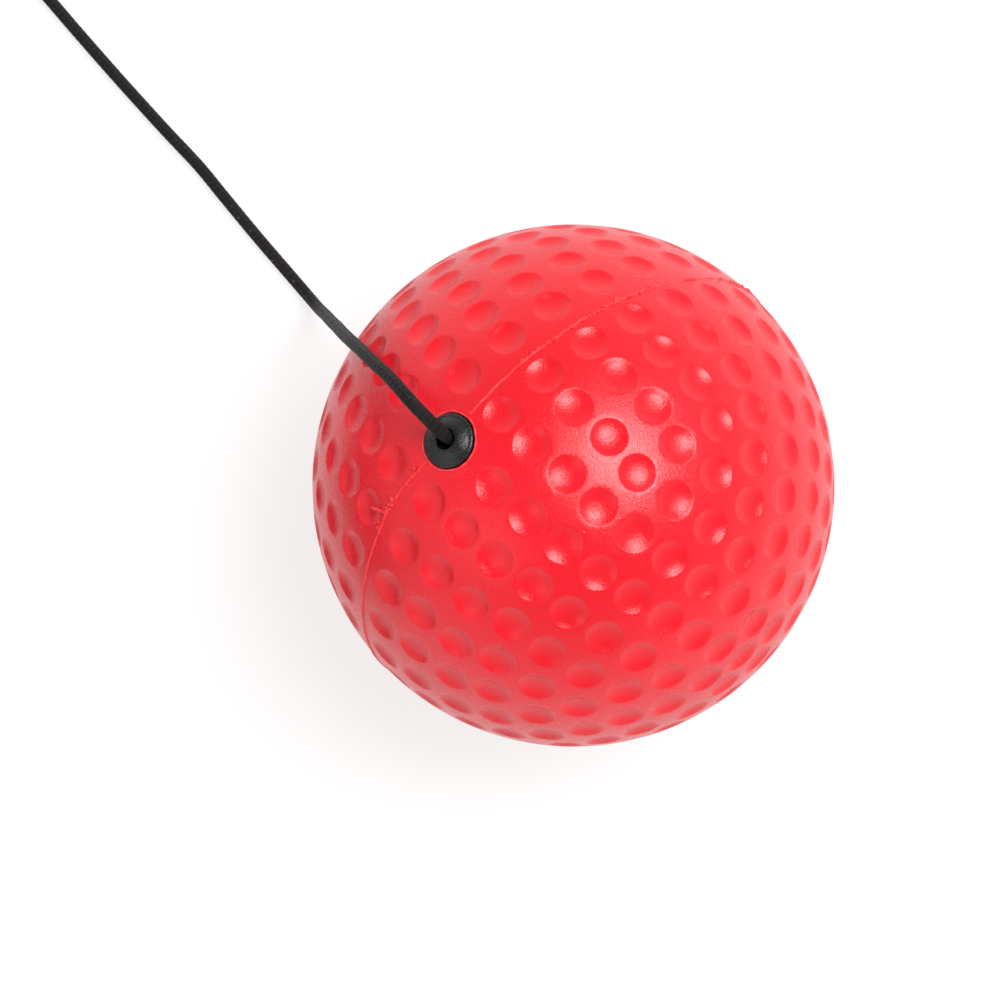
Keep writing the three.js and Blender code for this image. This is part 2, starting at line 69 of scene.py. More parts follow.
CAMERA_OFFSET = np.array([-9.1, -1.8, 399.9])  # from the ball's centre, looking straight down
CAMERA_LENS = 115.3

CORD_RADIUS = 0.8
FLOOR_CORD_Z = 0.85
CORD_STEP = 0.4
CORD_SIDES = 24
BRAID_STRANDS = 6
BRAID_PITCH = 1.7

PLUG_TOP = BALL_RADIUS + 1.0
PLUG_BOTTOM = BALL_RADIUS - 12.5
FLANGE_RADIUS = 3.25
BORE_RADIUS = 1.15
SLEEVE_RADIUS = 1.9
CORD_START = PLUG_BOTTOM - 1.15
POCKET_BOTTOM = PLUG_BOTTOM - 6.05
POCKET_RADIUS = 3.25

COIL_CENTRE = UNDER_BALL + [-93.7, 76.1, 0]
COIL_COLUMNS = (11.2, 9.55, 7.95, 6.3)
COIL_ROWS = (1.85, 3.5, 5.0)
COIL_ENTRY_DEG = 40.9
COIL_EXIT_DEG = 110

# The cord's resting line, from under the ball's centre: plug to coil, and coil to hook.
LEAD_ROUTE = [
    [-16.9, 7.0, 63.2], [-18.4, 8.5, 64.2], [-19.7, 9.9, 63.6], [-21.0, 11.4, 61.8],
    [-22.5, 13.0, 59.0], [-24.0, 14.4, 55.5], [-25.7, 16.1, 50.5], [-27.2, 17.5, 44.5],
    [-28.5, 18.8, 37.0], [-29.7, 20.1, 28.0], [-30.9, 21.3, 19.0], [-32.1, 22.6, 10.5],
    [-33.5, 24.0, 4.2], [-35.4, 26.2, 1.3], [-37.9, 29.1, FLOOR_CORD_Z],
    [-41.6, 33.4, FLOOR_CORD_Z], [-46.4, 39.2, FLOOR_CORD_Z], [-49.6, 43.1, FLOOR_CORD_Z],
    [-54.0, 47.8, FLOOR_CORD_Z], [-60.0, 54.4, FLOOR_CORD_Z], [-65.2, 60.3, FLOOR_CORD_Z],
    [-70.2, 66.1, FLOOR_CORD_Z], [-75.5, 72.2, 1.0], [-80.4, 77.8, 1.3],
]
TAIL_ROUTE = [
    [-105.2, 83.4, 1.5], [-108.4, 82.5, 1.0], [-112.0, 81.9, FLOOR_CORD_Z],
    [-116.0, 81.7, FLOOR_CORD_Z], [-120.0, 82.0, FLOOR_CORD_Z], [-124.0, 82.9, 1.15],
]

HOOK_AXIS = axis("swivel_turn")
HOOK_NORMAL = axis("gate_open")
HOOK_ACROSS = np.cross(HOOK_NORMAL, HOOK_AXIS)
HOOK_ORIGIN = pivot("swivel_turn") - 18.0 * HOOK_AXIS  # the middle of the hook's bow
KNOT_END = 34.35

DIMPLE_POLE = np.array([0.613, -0.634, 0.472])
DIMPLE_ZERO = np.array([-0.485, 0.169, 0.858])
DIMPLE_RADIUS = 2.24
DIMPLE_DEPTH = 0.52
DIMPLE_PAN = 0.42  # 0 is a plain bowl; nearer 1 is flatter in the middle and steeper at the rim
RING_PITCH_DEG = 9.3
RING_COUNTS = (1, 6, 10, 16, 20, 24, 28, 28, 30, 30)
# How far the mould line strays from the dimples' middle plane, at distances from the plug.
SEAM_DRIFT = (
    (-102, 0), (-48, 0.1), (-36, 0.5), (-12, 0.5), (-4, 0.7), (0, 0.9), (4, 0.2), (11, -0.7), (18, -0.4),
    (30, 0), (102, 0),
)


# ------------------------------------------------------------------ nodes of a material


class Surface:
    """A material with one Principled shader, and short calls for the nodes in front of it."""

    def __init__(self, name, **values):
        self.material = bpy.data.materials.new(name)
        self.material.use_nodes = True
        self.tree = self.material.node_tree
        self.shader = self.tree.nodes["Principled BSDF"]
        for socket, value in values.items():
            self.shader.inputs[socket.replace("_", " ")].default_value = value

    def node(self, kind, inputs=(), **properties):
        made = self.tree.nodes.new(kind)
        for key, value in properties.items():
            setattr(made, key, value)
        for key, value in dict(inputs).items():
            self.feed(made.inputs[key], value)
        return made

    def feed(self, socket, value):
        if isinstance(value, bpy.types.NodeSocket):
            self.tree.links.new(value, socket)
        else:
            socket.default_value = value

    def math(self, operation, first, second=0.0):
        return self.node("ShaderNodeMath", {0: first, 1: second}, operation=operation).outputs[0]

    def place(self):
        """The point on the piece, in millimetres."""
        inputs = {0: self.node("ShaderNodeTexCoord").outputs["Object"], 1: (1 / MM,) * 3}
        return self.node("ShaderNodeVectorMath", inputs, operation="MULTIPLY").outputs[0]

    def flow(self):
        """Distance along and across a swept piece, in millimetres."""
        flow = self.node("ShaderNodeUVMap", uv_map="flow").outputs[0]
        return self.node("ShaderNodeSeparateXYZ", {0: flow}).outputs[:2]

    def noise(self, scale, detail=2.0, roughness=0.5):
        inputs = {"Vector": self.place(), "Scale": scale, "Detail": detail, "Roughness": roughness}
        return self.node("ShaderNodeTexNoise", inputs).outputs["Fac"]

    def cells(self, scale):
        return self.node("ShaderNodeTexVoronoi", {"Vector": self.place(), "Scale": scale}).outputs

    def ramp(self, value, low, high, start=0.0, end=1.0):
        inputs = {"Value": value, "From Min": low, "From Max": high, "To Min": start, "To Max": end}
        return self.node("ShaderNodeMapRange", inputs).outputs[0]

    def wave(self, value, wavelength):
        return self.math("SINE", self.math("MULTIPLY", value, 2 * math.pi / wavelength))

    def mix(self, share, first, second):
        inputs = {"Factor": share, "A": first, "B": second}
        return self.node("ShaderNodeMix", inputs, data_type="RGBA").outputs["Result"]

    def colour(self, share, first, second):
        self.feed(self.shader.inputs["Base Color"], self.mix(share, first, second))

    def roughness(self, grain, smoothest, roughest, low=0.3):
        self.feed(self.shader.inputs["Roughness"], self.ramp(grain, low, 0.7, smoothest, roughest))

    def bump(self, height, distance, over=None):
        """Raises the surface by up to `distance` millimetres, on top of another bump."""
        inputs = {"Height": height, "Distance": distance * MM}
        if over:
            inputs["Normal"] = over
        made = self.node("ShaderNodeBump", inputs).outputs[0]
        self.feed(self.shader.inputs["Normal"], made)
        return made


def rgb(red, green, blue):
    return (red, green, blue, 1.0)


def grey(tone, blue=None):
    return rgb(tone, tone, tone if blue is None else blue)


def foam_skin():
    s = Surface("red_foam_skin", IOR=1.5, Specular_IOR_Level=0.55)
    patches = s.ramp(s.noise(0.06, 3.0), 0.35, 0.65)
    skin = s.mix(patches, rgb(0.79, 0.0015, 0.012), rgb(0.85, 0.002, 0.016))
    pores = s.cells(0.5)
    pit = s.ramp(pores["Distance"], 0.04, 0.10)
    pits_with_painted_shade = s.math("MAXIMUM", pit, s.ramp(pores["Color"], 0.26, 0.30))
    # The pinholes are dents in the skin, and their darker red is painted shade inside them.
    s.colour(pits_with_painted_shade, rgb(0.66, 0.001, 0.008), skin)
    grain = s.noise(3.6, 3.0, 0.65)
    s.roughness(grain, 0.24, 0.36)
    rough = s.bump(grain, 0.045)
    s.bump(pits_with_painted_shade, 0.05, over=s.bump(s.noise(0.35), 0.03, over=rough))
    return s.material


def flash_skin():
    """Torn foam flash: paler and duller than the skin."""
    s = Surface("foam_flash", IOR=1.5, Roughness=0.5)
    s.colour(s.noise(1.3), rgb(0.80, 0.010, 0.020), rgb(1.0, 0.075, 0.085))
    s.bump(s.noise(5.0, 3.0, 0.6), 0.04)
    return s.material


def plug_plastic():
    s = Surface("plug_plastic", IOR=1.5, Specular_IOR_Level=0.6)
    scuffs = s.noise(2.4, 6.0, 0.75)
    s.colour(s.ramp(scuffs, 0.4, 0.75), rgb(0.002, 0.0015, 0.0015), rgb(0.008, 0.007, 0.007))
    s.roughness(scuffs, 0.18, 0.36, low=0.35)
    fine = s.bump(s.noise(6.0, 4.0, 0.7), 0.010)
    scratched = s.bump(s.noise(2.2, 4.0, 0.7), 0.06, over=fine)
    s.bump(scuffs, 0.03, over=scratched)
    return s.material


def braided_cord():
    s = Surface("braided_cord", Specular_IOR_Level=0.28, Sheen_Weight=0.02, Sheen_Roughness=0.5)
    along, around = s.flow()
    turns = s.math("MULTIPLY", around, BRAID_STRANDS / CORD_RADIUS)
    run = s.math("MULTIPLY", along, 2 * math.pi / BRAID_PITCH)
    one = s.math("SINE", s.math("ADD", turns, run))
    other = s.math("SINE", s.math("SUBTRACT", turns, run))
    weave = s.ramp(s.math("MULTIPLY", one, other), -1, 1)
    fibre = s.noise(7.0, 3.0, 0.6)
    tone = s.ramp(s.math("MULTIPLY", weave, fibre), 0.15, 0.6)
    woven_tone = s.mix(tone, rgb(0.003, 0.002, 0.0018), rgb(0.013, 0.010, 0.009))
    # Sparse pale specks painted into the cord's colour stand for small glints of light on the braid:
    # painted highlights.
    painted_glint_specks = s.ramp(s.noise(1.9), 0.68, 0.74)
    s.colour(painted_glint_specks, woven_tone, rgb(0.10, 0.095, 0.09))
    s.roughness(fibre, 0.5, 0.8)
    threads = s.bump(fibre, 0.05)
    s.bump(weave, 0.12, over=threads)
    return s.material


def nickel():
    s = Surface("nickel_plate", Metallic=1.0, Base_Color=rgb(0.66, 0.64, 0.61))
    s.roughness(s.noise(0.5, 4.0, 0.6), 0.16, 0.32)
    s.bump(s.noise(1.5, 4.0, 0.6), 0.01)
    return s.material


def moulded_plastic(name, tone):
    s = Surface(name, IOR=1.46)
    grain = s.noise(2.6, 4.0, 0.6)
    s.colour(grain, grey(tone * 0.7), grey(tone * 1.4, tone * 1.45))
    s.roughness(grain, 0.38, 0.58)
    s.bump(grain, 0.03)
    return s.material


def woven(name, tone, across_pitch, along_pitch, relief, sheen=0.15):
    """Yarns crossing over and under each other, with the fuzz of their fibres."""
    s = Surface(name, Sheen_Weight=sheen, Sheen_Roughness=0.45, Specular_IOR_Level=0.3)
    along, around = s.flow()
    weft = s.wave(along, along_pitch)
    warp = s.wave(around, across_pitch)
    checks = s.ramp(s.math("MULTIPLY", weft, warp), -1, 1)
    fibre = s.noise(6.0, 3.0, 0.6)
    faded = s.math("MULTIPLY", s.noise(0.05), 0.6)
    tint = s.math("MULTIPLY", s.math("ADD", checks, 0.35), s.math("ADD", fibre, faded))
    s.colour(s.ramp(tint, 0.2, 1.1), grey(tone * 0.45, tone * 0.5), grey(tone * 1.7, tone * 1.8))
    s.roughness(fibre, 0.7, 0.92)
    s.bump(checks, relief, over=s.bump(fibre, 0.06))
    return s.material


def silicone_rubber():
    s = Surface("silicone_rubber", IOR=1.43)
    haze = s.noise(0.8, 3.0)
    s.colour(haze, grey(0.07, 0.08), grey(0.11, 0.12))
    s.roughness(haze, 0.36, 0.55)
    s.bump(s.noise(3.0, 3.0), 0.02)
    return s.material


def loop_pile():
    s = Surface("loop_pile", Roughness=0.95, Sheen_Weight=0.5, Sheen_Roughness=0.6)
    loops = s.cells(2.2)["Distance"]
    fuzz = s.noise(5.0, 5.0, 0.75)
    s.colour(s.math("MULTIPLY", loops, fuzz), grey(0.012, 0.014), grey(0.075, 0.085))
    s.bump(loops, 0.25, over=s.bump(fuzz, 0.3))
    return s.material


def sewing_thread():
    s = Surface("sewing_thread", Roughness=0.6, Sheen_Weight=0.1)
    ply = s.noise(8.0)
    s.colour(ply, grey(0.03, 0.033), grey(0.085, 0.09))
    s.bump(ply, 0.03)
    return s.material


# ------------------------------------------------------------------ lines and skins


ALONG_X, ALONG_Y, UP = np.eye(3)
THREAD_RADIUS = 0.2


def unit(vectors):
    return vectors / np.linalg.norm(vectors, axis=-1, keepdims=True)


def distances(points):
    """How far along a line each of its points is."""
    return np.concatenate([[0], np.cumsum(np.linalg.norm(np.diff(points, axis=0), axis=1))])


def resample(points, step):
    """Points about `step` apart along a fine line."""
    run = distances(points)
    at = np.linspace(0, run[-1], max(2, int(round(run[-1] / step)) + 1))
    return np.stack([np.interp(at, run, column) for column in points.T], axis=1)


def between(first, second, start, end, at):
    """The values on a straight run from first, at start, to second, at end."""
    return ((end - at) * first + (at - start) * second) / (end - start)


def smooth_line(points, step):
    """Evenly spaced points on a centripetal Catmull-Rom curve through the given ones."""
    points = np.asarray(points, float)
    knots = np.vstack([2 * points[0] - points[1], points, 2 * points[-1] - points[-2]])
    pieces = []
    for four in zip(knots, knots[1:], knots[2:], knots[3:]):
        times = np.cumsum([0, *(math.dist(p, q) ** 0.5 for p, q in zip(four, four[1:]))])
        t = np.linspace(times[1], times[2], 16, endpoint=False)[:, None]
        lines = [between(*ends, t) for ends in zip(four, four[1:], times, times[1:])]
        curves = [between(*ends, t) for ends in zip(lines, lines[1:], times, times[2:])]
        pieces.append(between(*curves, times[1], times[2], t))
    return resample(np.vstack([*pieces, points[-1:]]), step)


def vertices_of(mesh):
    return np.array([tuple(vertex.co) for vertex in mesh.vertices])


def new_object(name, points, faces):
    mesh = bpy.data.meshes.new(name)
    mesh.from_pydata(np.asarray(points).tolist(), [], [list(map(int, face)) for face in faces])
    made = bpy.data.objects.new(name, mesh)
    bpy.context.scene.collection.objects.link(made)
    return made


def add_piece(name, shape, material, body, nodes=(), crease=55):
    """A piece that stands for some CAD nodes; shape is (points in millimetres, faces) and may
    end with the flow, which is each face corner's (along, around)."""
    points, faces, *flow = shape
    piece = new_object(name, np.asarray(points) * MM, faces)
    mesh = piece.data
    mesh.polygons.foreach_set("use_smooth", np.ones(len(mesh.polygons), bool))
    mesh.set_sharp_from_angle(angle=math.radians(crease))
    if flow:
        layer = mesh.uv_layers.new(name="flow")
        layer.data.foreach_set("uv", np.asarray(flow[0], np.float32).ravel())
    mesh.materials.append(material)
    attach(piece, body)
    if nodes:
        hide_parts(*nodes)
    return piece


ALONG_FIRST = ((0, 0), (1, 0), (1, 1), (0, 1))  # a grid cell's corners, in two orders
AROUND_FIRST = ((0, 0), (0, 1), (1, 1), (1, 0))


def grid_faces(i, j, rings, sides, corners):
    """Faces of a grid of points that closes on itself after so many rings and sides."""
    return np.stack([(i + di) % rings * sides + (j + dj) % sides for di, dj in corners], axis=1)


def sweep(line, side, up, section, closed=False, relief=None):
    """The points, faces and flow of a skin round a closed section carried along a line."""
    line, section = np.asarray(line, float), np.asarray(section, float)
    n, m = len(line), len(section)
    side = np.broadcast_to(side, (n, 3))
    up = np.broadcast_to(up, (n, 3))
    around = distances(np.vstack([section, section[:1]]))
    along = distances(np.vstack([line, line[:1]]))
    points = line[:, None] + side[:, None] * section[None, :, :1] + up[:, None] * section[None, :, 1:]
    if relief is not None:
        edge = np.roll(section, -1, 0) - np.roll(section, 1, 0)
        out = unit(np.stack([edge[:, 1], -edge[:, 0]], axis=1))
        outward = side[:, None] * out[None, :, :1] + up[:, None] * out[None, :, 1:]
        points = points + outward * relief(along[:-1, None], around[None, :-1])[..., None]
    points = points.reshape(-1, 3)
    i, j = np.indices((n if closed else n - 1, m)).reshape(2, -1)
    faces = grid_faces(i, j, n, m, ALONG_FIRST)
    flow = np.stack([(along[i + di], around[j + dj]) for di, dj in ALONG_FIRST]).transpose(2, 0, 1)
    a, b, c = (points[faces[:, k]] for k in range(3))
    centre = points.mean(0)
    caps = [np.arange(m), np.arange((n - 1) * m, n * m)[::-1]]
    if np.einsum("ij,ij->i", a - centre, np.cross(b - centre, c - centre)).sum() < 0:
        faces, flow = faces[:, ::-1], flow[:, ::-1]
        caps = [cap[::-1] for cap in caps]
    if closed:
        caps = []
    return points, [*faces, *caps], [*flow.reshape(-1, 2), *[(0.0, 0.0)] * (m * len(caps))]


def merged(shapes):
    """Several shapes as one, without their flow."""
    points, faces, before = [], [], 0
    for shape_points, shape_faces, *_ in shapes:
        points.append(shape_points)
        faces += [[before + k for k in face] for face in shape_faces]
        before += len(shape_points)
    return np.vstack(points), faces


def tangents_of(line, closed=False):
    if closed:
        return unit(np.roll(line, -1, 0) - np.roll(line, 1, 0))
    return unit(np.gradient(line, axis=0))


def tube(line, radius, sides, closed=False, relief=None):
    """A round tube along a line, without twist."""
    tangents = tangents_of(line, closed)
    side, sides_of = UP if abs(tangents[0][2]) < 0.8 else ALONG_X, []
    for tangent in tangents:
        side = unit(side - tangent * side.dot(tangent))
        sides_of.append(side)
    side = np.array(sides_of)
    turn = np.arange(sides) * 2 * math.pi / sides
    section = radius * np.stack([np.cos(turn), np.sin(turn)], axis=1)
    return sweep(line, side, np.cross(tangents, side), section, closed, relief)


def lathe(outline, origin, direction, segments):
    """A solid of revolution: outline holds (radius, height) along direction from origin."""
    direction, outline = unit(direction), np.asarray(outline, float)
    side = unit(np.cross(direction, UP if abs(direction[2]) < 0.9 else ALONG_X))
    turn = (np.arange(segments) * 2 * math.pi / segments)[:, None]
    radial = np.cos(turn) * side + np.sin(turn) * np.cross(direction, side)
    points = origin + radial[:, None] * outline[None, :, :1] + direction * outline[None, :, 1:]
    i, j = np.indices((segments, len(outline))).reshape(2, -1)
    return points.reshape(-1, 3), grid_faces(i, j, segments, len(outline), AROUND_FIRST)


def round_corners(points, radius, closed=True):
    """A path of straight runs with its corners rounded."""
    points = np.asarray(points, float)
    n, path = len(points), []
    for k, corner in enumerate(points):
        if not closed and k in (0, n - 1):
            path.append(corner[None])
            continue
        before, after = points[k - 1] - corner, points[(k + 1) % n] - corner
        reach = [min(radius, 0.45 * np.linalg.norm(v)) for v in (before, after)]
        start, end = corner + unit(before) * reach[0], corner + unit(after) * reach[1]
        t = np.linspace(0, 1, 8)[:, None]
        path.append((1 - t) ** 2 * start + 2 * t * (1 - t) * corner + t ** 2 * end)
    path = np.vstack(path)
    return np.vstack([path, path[:1]]) if closed else path


def closed_path(points, radius, step):
    return resample(round_corners(points, radius), step)[:-1]


def rounded_rectangle(width, height, radius, step):
    corners = np.array([(-1, -1), (1, -1), (1, 1), (-1, 1)]) * [width / 2, height / 2]
    return closed_path(corners, radius * 1.3, step)


def standing(line, thickness, bottom, top, rounding, step, relief=None, tall=1.0):
    """A strip standing on edge along a line in plan; tall is each point's share of its height."""
    line = np.column_stack([line[:, :2], np.full(len(line), (bottom + top) / 2)])
    side = unit(np.cross(tangents_of(line), UP))
    up = UP * np.broadcast_to(tall, len(line))[:, None]
    return sweep(line, side, up, rounded_rectangle(thickness, top - bottom, rounding, step), relief=relief)


def stitches(line, out, pitch=3.0, stitch=2.3):
    """A row of stitches along a line, each rising out of the cloth and going back into it."""
    line = resample(np.column_stack([line, np.broadcast_to(out, line.shape)]), pitch)
    middle, out = line[:, :3], unit(line[:, 3:])
    t = np.linspace(-1, 1, 5)[:, None]
    threads = [p + along * t * stitch / 2 + up * (0.16 - 0.3 * t * t)
               for p, up, along in zip(middle, out, tangents_of(middle))]
    return merged(tube(thread, THREAD_RADIUS, 6) for thread in threads)


def solid_of(base, joined=(), cut=()):
    """A solid joined with some others and then cut by the rest; each is (points, faces)."""
    made = [new_object("step", *shape) for shape in (base, *joined, *cut)]
    for tool, operation in zip(made[1:], ["UNION"] * len(joined) + ["DIFFERENCE"] * len(cut)):
        step = made[0].modifiers.new("step", "BOOLEAN")
        step.object, step.operation, step.solver = tool, operation, "EXACT"
    depsgraph = bpy.context.evaluated_depsgraph_get()
    mesh = made[0].evaluated_get(depsgraph).to_mesh()
    points = vertices_of(mesh)
    faces = [tuple(face.vertices) for face in mesh.polygons]
    for part in made:
        bpy.data.objects.remove(part)
    return points, faces


def inset(outline, distance):
    """A closed outline in plan moved inwards."""
    edge = unit(np.roll(outline, -1, 0) - outline)
    normal = np.stack([-edge[:, 1], edge[:, 0]], 1)
    before = np.roll(normal, 1, 0)
    corner = before + normal
    return outline + distance * corner / np.maximum((corner * normal).sum(1, keepdims=True), 0.3)


def plate(outline, low, high, bevel):
    """A flat plate with bevelled edges; its outline runs counter-clockwise."""
    outline = np.asarray(outline, float)
    edge = [(0, bevel), (0.3 * bevel, 0.3 * bevel), (bevel, 0)]  # height above the face, and inset
    levels = [(low + z, d) for z, d in edge] + [(high - z, d) for z, d in reversed(edge)]
    rings = [np.column_stack([inset(outline, d), np.full(len(outline), z)]) for z, d in levels]
    m, last = len(outline), len(levels) - 1
    i, j = np.indices((last, m)).reshape(2, -1)
    flats = [range(m)[::-1], range(last * m, len(levels) * m)]
    return np.vstack(rings), [*flats, *grid_faces(i, j, len(levels), m, AROUND_FIRST)]


def arc_points(centre, radius, start_deg, end_deg, steps):
    turn = np.radians(np.linspace(start_deg, end_deg, steps))
    return [(centre[0] + radius * math.cos(t), centre[1] + radius * math.sin(t)) for t in turn]


# ------------------------------------------------------------------ camera, light, floor


KEY_DIRECTION = (0.32, 0.205, 0.925)
FILL_DIRECTION = (-0.60, -0.37, 0.71)
WORLD_AT_HORIZON, WORLD_OVERHEAD = 0.95, 0.10


def add_camera():
    camera = bpy.data.objects.new("camera", bpy.data.cameras.new("camera"))
    camera.data.lens = CAMERA_LENS
    camera.data.sensor_width = 36
    camera.location = (BALL_CENTRE + CAMERA_OFFSET) * MM
    bpy.context.scene.collection.objects.link(camera)
    bpy.context.scene.camera = camera


def add_softbox(name, direction, distance, width, height, radiance):
    """A lamp facing the ball; the distance and sides are in metres."""
    lamp = bpy.data.lights.new(name, "AREA")
    lamp.shape = "RECTANGLE"
    lamp.size, lamp.size_y = width, height
    lamp.energy = radiance * math.pi * width * height
    box = bpy.data.objects.new(name, lamp)
    aim = bpy.data.objects.new(name + "_aim", None)
    aim.location = BALL_CENTRE * MM
    box.location = BALL_CENTRE * MM + unit(np.array(direction)) * distance
    toward = box.constraints.new("TRACK_TO")
    toward.target = aim
    toward.track_axis, toward.up_axis = "TRACK_NEGATIVE_Z", "UP_Y"
    for made in (aim, box):
        bpy.context.scene.collection.objects.link(made)


def add_light():
    world = bpy.data.worlds.new("studio")
    world.use_nodes = True
    nodes, links = world.node_tree.nodes, world.node_tree.links
    background = nodes["Background"]
    background.inputs["Color"].default_value = grey(1.0)
    upward = nodes.new("ShaderNodeSeparateXYZ")
    links.new(nodes.new("ShaderNodeTexCoord").outputs["Generated"], upward.inputs[0])
    strength = nodes.new("ShaderNodeMapRange")
    strength.inputs["To Min"].default_value = WORLD_AT_HORIZON
    strength.inputs["To Max"].default_value = WORLD_OVERHEAD
    links.new(upward.outputs["Z"], strength.inputs["Value"])
    links.new(strength.outputs[0], background.inputs["Strength"])
    bpy.context.scene.world = world
    bpy.context.scene.view_settings.view_transform = "Standard"
    add_softbox("key_softbox", KEY_DIRECTION, 2.0, 0.98, 1.04, radiance=10.6)
    add_softbox("key_middle", KEY_DIRECTION, 1.9, 0.42, 0.46, radiance=6.5)
    add_softbox("fill_softbox", FILL_DIRECTION, 2.0, 0.95, 0.95, radiance=1.2)


def add_floor():
    s = Surface("floor", Roughness=0.9, Base_Color=grey(0.25), Specular_IOR_Level=0.1,
                Emission_Color=grey(1.0), Emission_Strength=0.76)
    half, below = 4.0, -0.05 * MM  # in metres
    corners = [(-half, -half, below), (half, -half, below), (half, half, below), (-half, half, below)]
    floor = new_object("floor", corners, [range(4)])
    floor.data.materials.append(s.material)


# ------------------------------------------------------------------ cord


def eased(share):
    share = np.clip(share, 0, 1)
    return share * share * (3 - 2 * share)


def coil_line():
    """The wound cord: in along the floor row, out along the next, and two turns on top."""
    floor_row, next_row, top_row = COIL_ROWS
    nested = [sum(pair) / 2 for pair in zip(COIL_COLUMNS, COIL_COLUMNS[1:3])]
    turns = [(r, floor_row) for r in COIL_COLUMNS] + [(r, next_row) for r in reversed(COIL_COLUMNS)]
    turns = np.array(turns + [(r, top_row) for r in nested])
    last = (COIL_EXIT_DEG - COIL_ENTRY_DEG) / 360  # the part of a turn after the whole ones
    at = np.arange(0, len(turns) + last, 1 / 48)
    turn = np.minimum(at.astype(int), len(turns) - 1)
    following = turns[np.minimum(turn + 1, len(turns) - 1)]
    shift = 0.2  # the share of a turn over which it moves to the next place
    share = eased((at - turn - (1 - shift)) / shift)[:, None]
    radius, height = (turns[turn] + (following - turns[turn]) * share).T
    climb, crossing = 0.16, 0.02  # how early, in turns, it rises over the last turns and then crosses them
    rise = eased((at - (len(turns) - climb)) / climb)
    over = eased((at - (len(turns) - crossing)) / (last + crossing))
    height += rise * 1.35 * (1 - over) + over * 0.5
    radius += over * (COIL_COLUMNS[0] + 0.4 - nested[1])
    angle = np.radians(COIL_ENTRY_DEG) + at * 2 * math.pi
    flat = np.stack([radius * np.cos(angle), radius * np.sin(angle)], axis=1)
    return np.column_stack([COIL_CENTRE[:2] + flat, height])


def cord_line():
    mouth = [CORD_START, CORD_START + 5, PLUG_TOP - 3, PLUG_TOP - 0.4]
    lead = [UNDER_BALL + p for p in LEAD_ROUTE]
    pull = lead[3] - BALL_CENTRE
    pull = unit(pull - PLUG_AXIS * pull.dot(PLUG_AXIS))
    pull = unit(pull + 0.9 * np.cross(pull, PLUG_AXIS))
    lean = (0, 0, 0.2, 0.33)  # it leans on the side of the bore that it is drawn to
    inside = [BALL_CENTRE + h * PLUG_AXIS + side * pull for h, side in zip(mouth, lean)]
    tail = [UNDER_BALL + p for p in TAIL_ROUTE]
    coil = coil_line()
    end = in_hook([(KNOT_END + 2.05, 0, 0), (KNOT_END, 0, 0)])
    return smooth_line([*inside, *lead, *coil[::4], *tail, *end], CORD_STEP)


def braid(along, around):
    """How far the braid's strands stand out of the cord's round."""
    turns = around * BRAID_STRANDS / CORD_RADIUS
    run = along * 2 * math.pi / BRAID_PITCH
    return 0.035 * np.sin(turns + run) * np.sin(turns - run)


def add_cord(material):
    line = cord_line()
    shape = tube(line, CORD_RADIUS - 0.02, CORD_SIDES, relief=braid)
    nodes = ("cord_lead", "cord_coil", "cord_tail")
    cord = add_piece("elastic_cord", shape, material, "cord_and_hook", nodes)


# ------------------------------------------------------------------ ball


def geodesic(frequency):
    """Unit points and triangles of an icosahedron whose faces are each cut into frequency² ones."""
    g = (1 + 5 ** 0.5) / 2
    corners = [np.roll((x, y, 0), turn) for turn in range(3) for y in (g, -g) for x in (-1, 1)]
    corners = unit(np.array(corners))
    sides = [
        (0, 11, 5), (0, 5, 1), (0, 1, 7), (0, 7, 10), (0, 10, 11), (1, 5, 9), (5, 11, 4), (11, 10, 2),
        (10, 7, 6), (7, 1, 8), (3, 9, 4), (3, 4, 2), (3, 2, 6), (3, 6, 8), (3, 8, 9), (4, 9, 5),
        (2, 4, 11), (6, 2, 10), (8, 6, 7), (9, 8, 1)]
    steps = [(i, j) for i in range(frequency + 1) for j in range(frequency + 1 - i)]
    number = {step: k for k, step in enumerate(steps)}
    grid = np.array(steps) / frequency
    cells = []
    for i, j in steps:
        if i + j < frequency:
            cells.append((number[i, j], number[i + 1, j], number[i, j + 1]))
        if i + j < frequency - 1:
            cells.append((number[i + 1, j], number[i + 1, j + 1], number[i, j + 1]))
    cells = np.array(cells)
    points, faces = [], []
    for a, b, c in sides:
        faces.append(cells + len(points) * len(steps))
        corner, first, second = corners[[a, b, c]]
        points.append(unit(corner + grid[:, :1] * (first - corner) + grid[:, 1:] * (second - corner)))
    points, faces = np.vstack(points), np.vstack(faces)
    _, first, same = np.unique(np.round(points, 6), axis=0, return_index=True, return_inverse=True)
    return points[first], same.reshape(-1)[faces]


def dimple_centres():
    """Rings of dimples about both poles, alike on either side of the mould line."""
    pole = unit(DIMPLE_POLE)
    zero = unit(DIMPLE_ZERO - pole * DIMPLE_ZERO.dot(pole))
    quarter = np.cross(pole, zero)
    centres = []
    for half in (1, -1):
        for ring, count in enumerate(RING_COUNTS):
            down = math.radians(ring * RING_PITCH_DEG)
            for k in range(count):
                if ring == len(RING_COUNTS) - 1 and k == 0:
                    continue  # the plug stands here
                turn = 2 * math.pi * k / count
                level = math.cos(turn) * zero + math.sin(turn) * quarter
                centres.append(half * math.cos(down) * pole + math.sin(down) * level)
    return unit(np.array(centres))


def dimple_depth(share):
    """How far a dimple lies below the sphere, at a share of its radius from its middle."""
    share = np.minimum(share, 1)
    pan = 1 - (1 - DIMPLE_PAN) * share ** 2 - DIMPLE_PAN * share ** 4
    crown = DIMPLE_RADIUS ** 2 * (1 - share ** 2) / (2 * BALL_RADIUS)
    return DIMPLE_DEPTH * pan + crown


def nearest(points, centres):
    """Each point's nearest centre, and the arc to it in millimetres on the ball."""
    which, angle = [], []
    for block in np.array_split(points, 12):
        cosine = block @ centres.T
        best = cosine.argmax(1)
        which.append(best)
        angle.append(np.arccos(np.clip(cosine[np.arange(len(block)), best], -1, 1)))
    return np.concatenate(which), np.concatenate(angle) * BALL_RADIUS


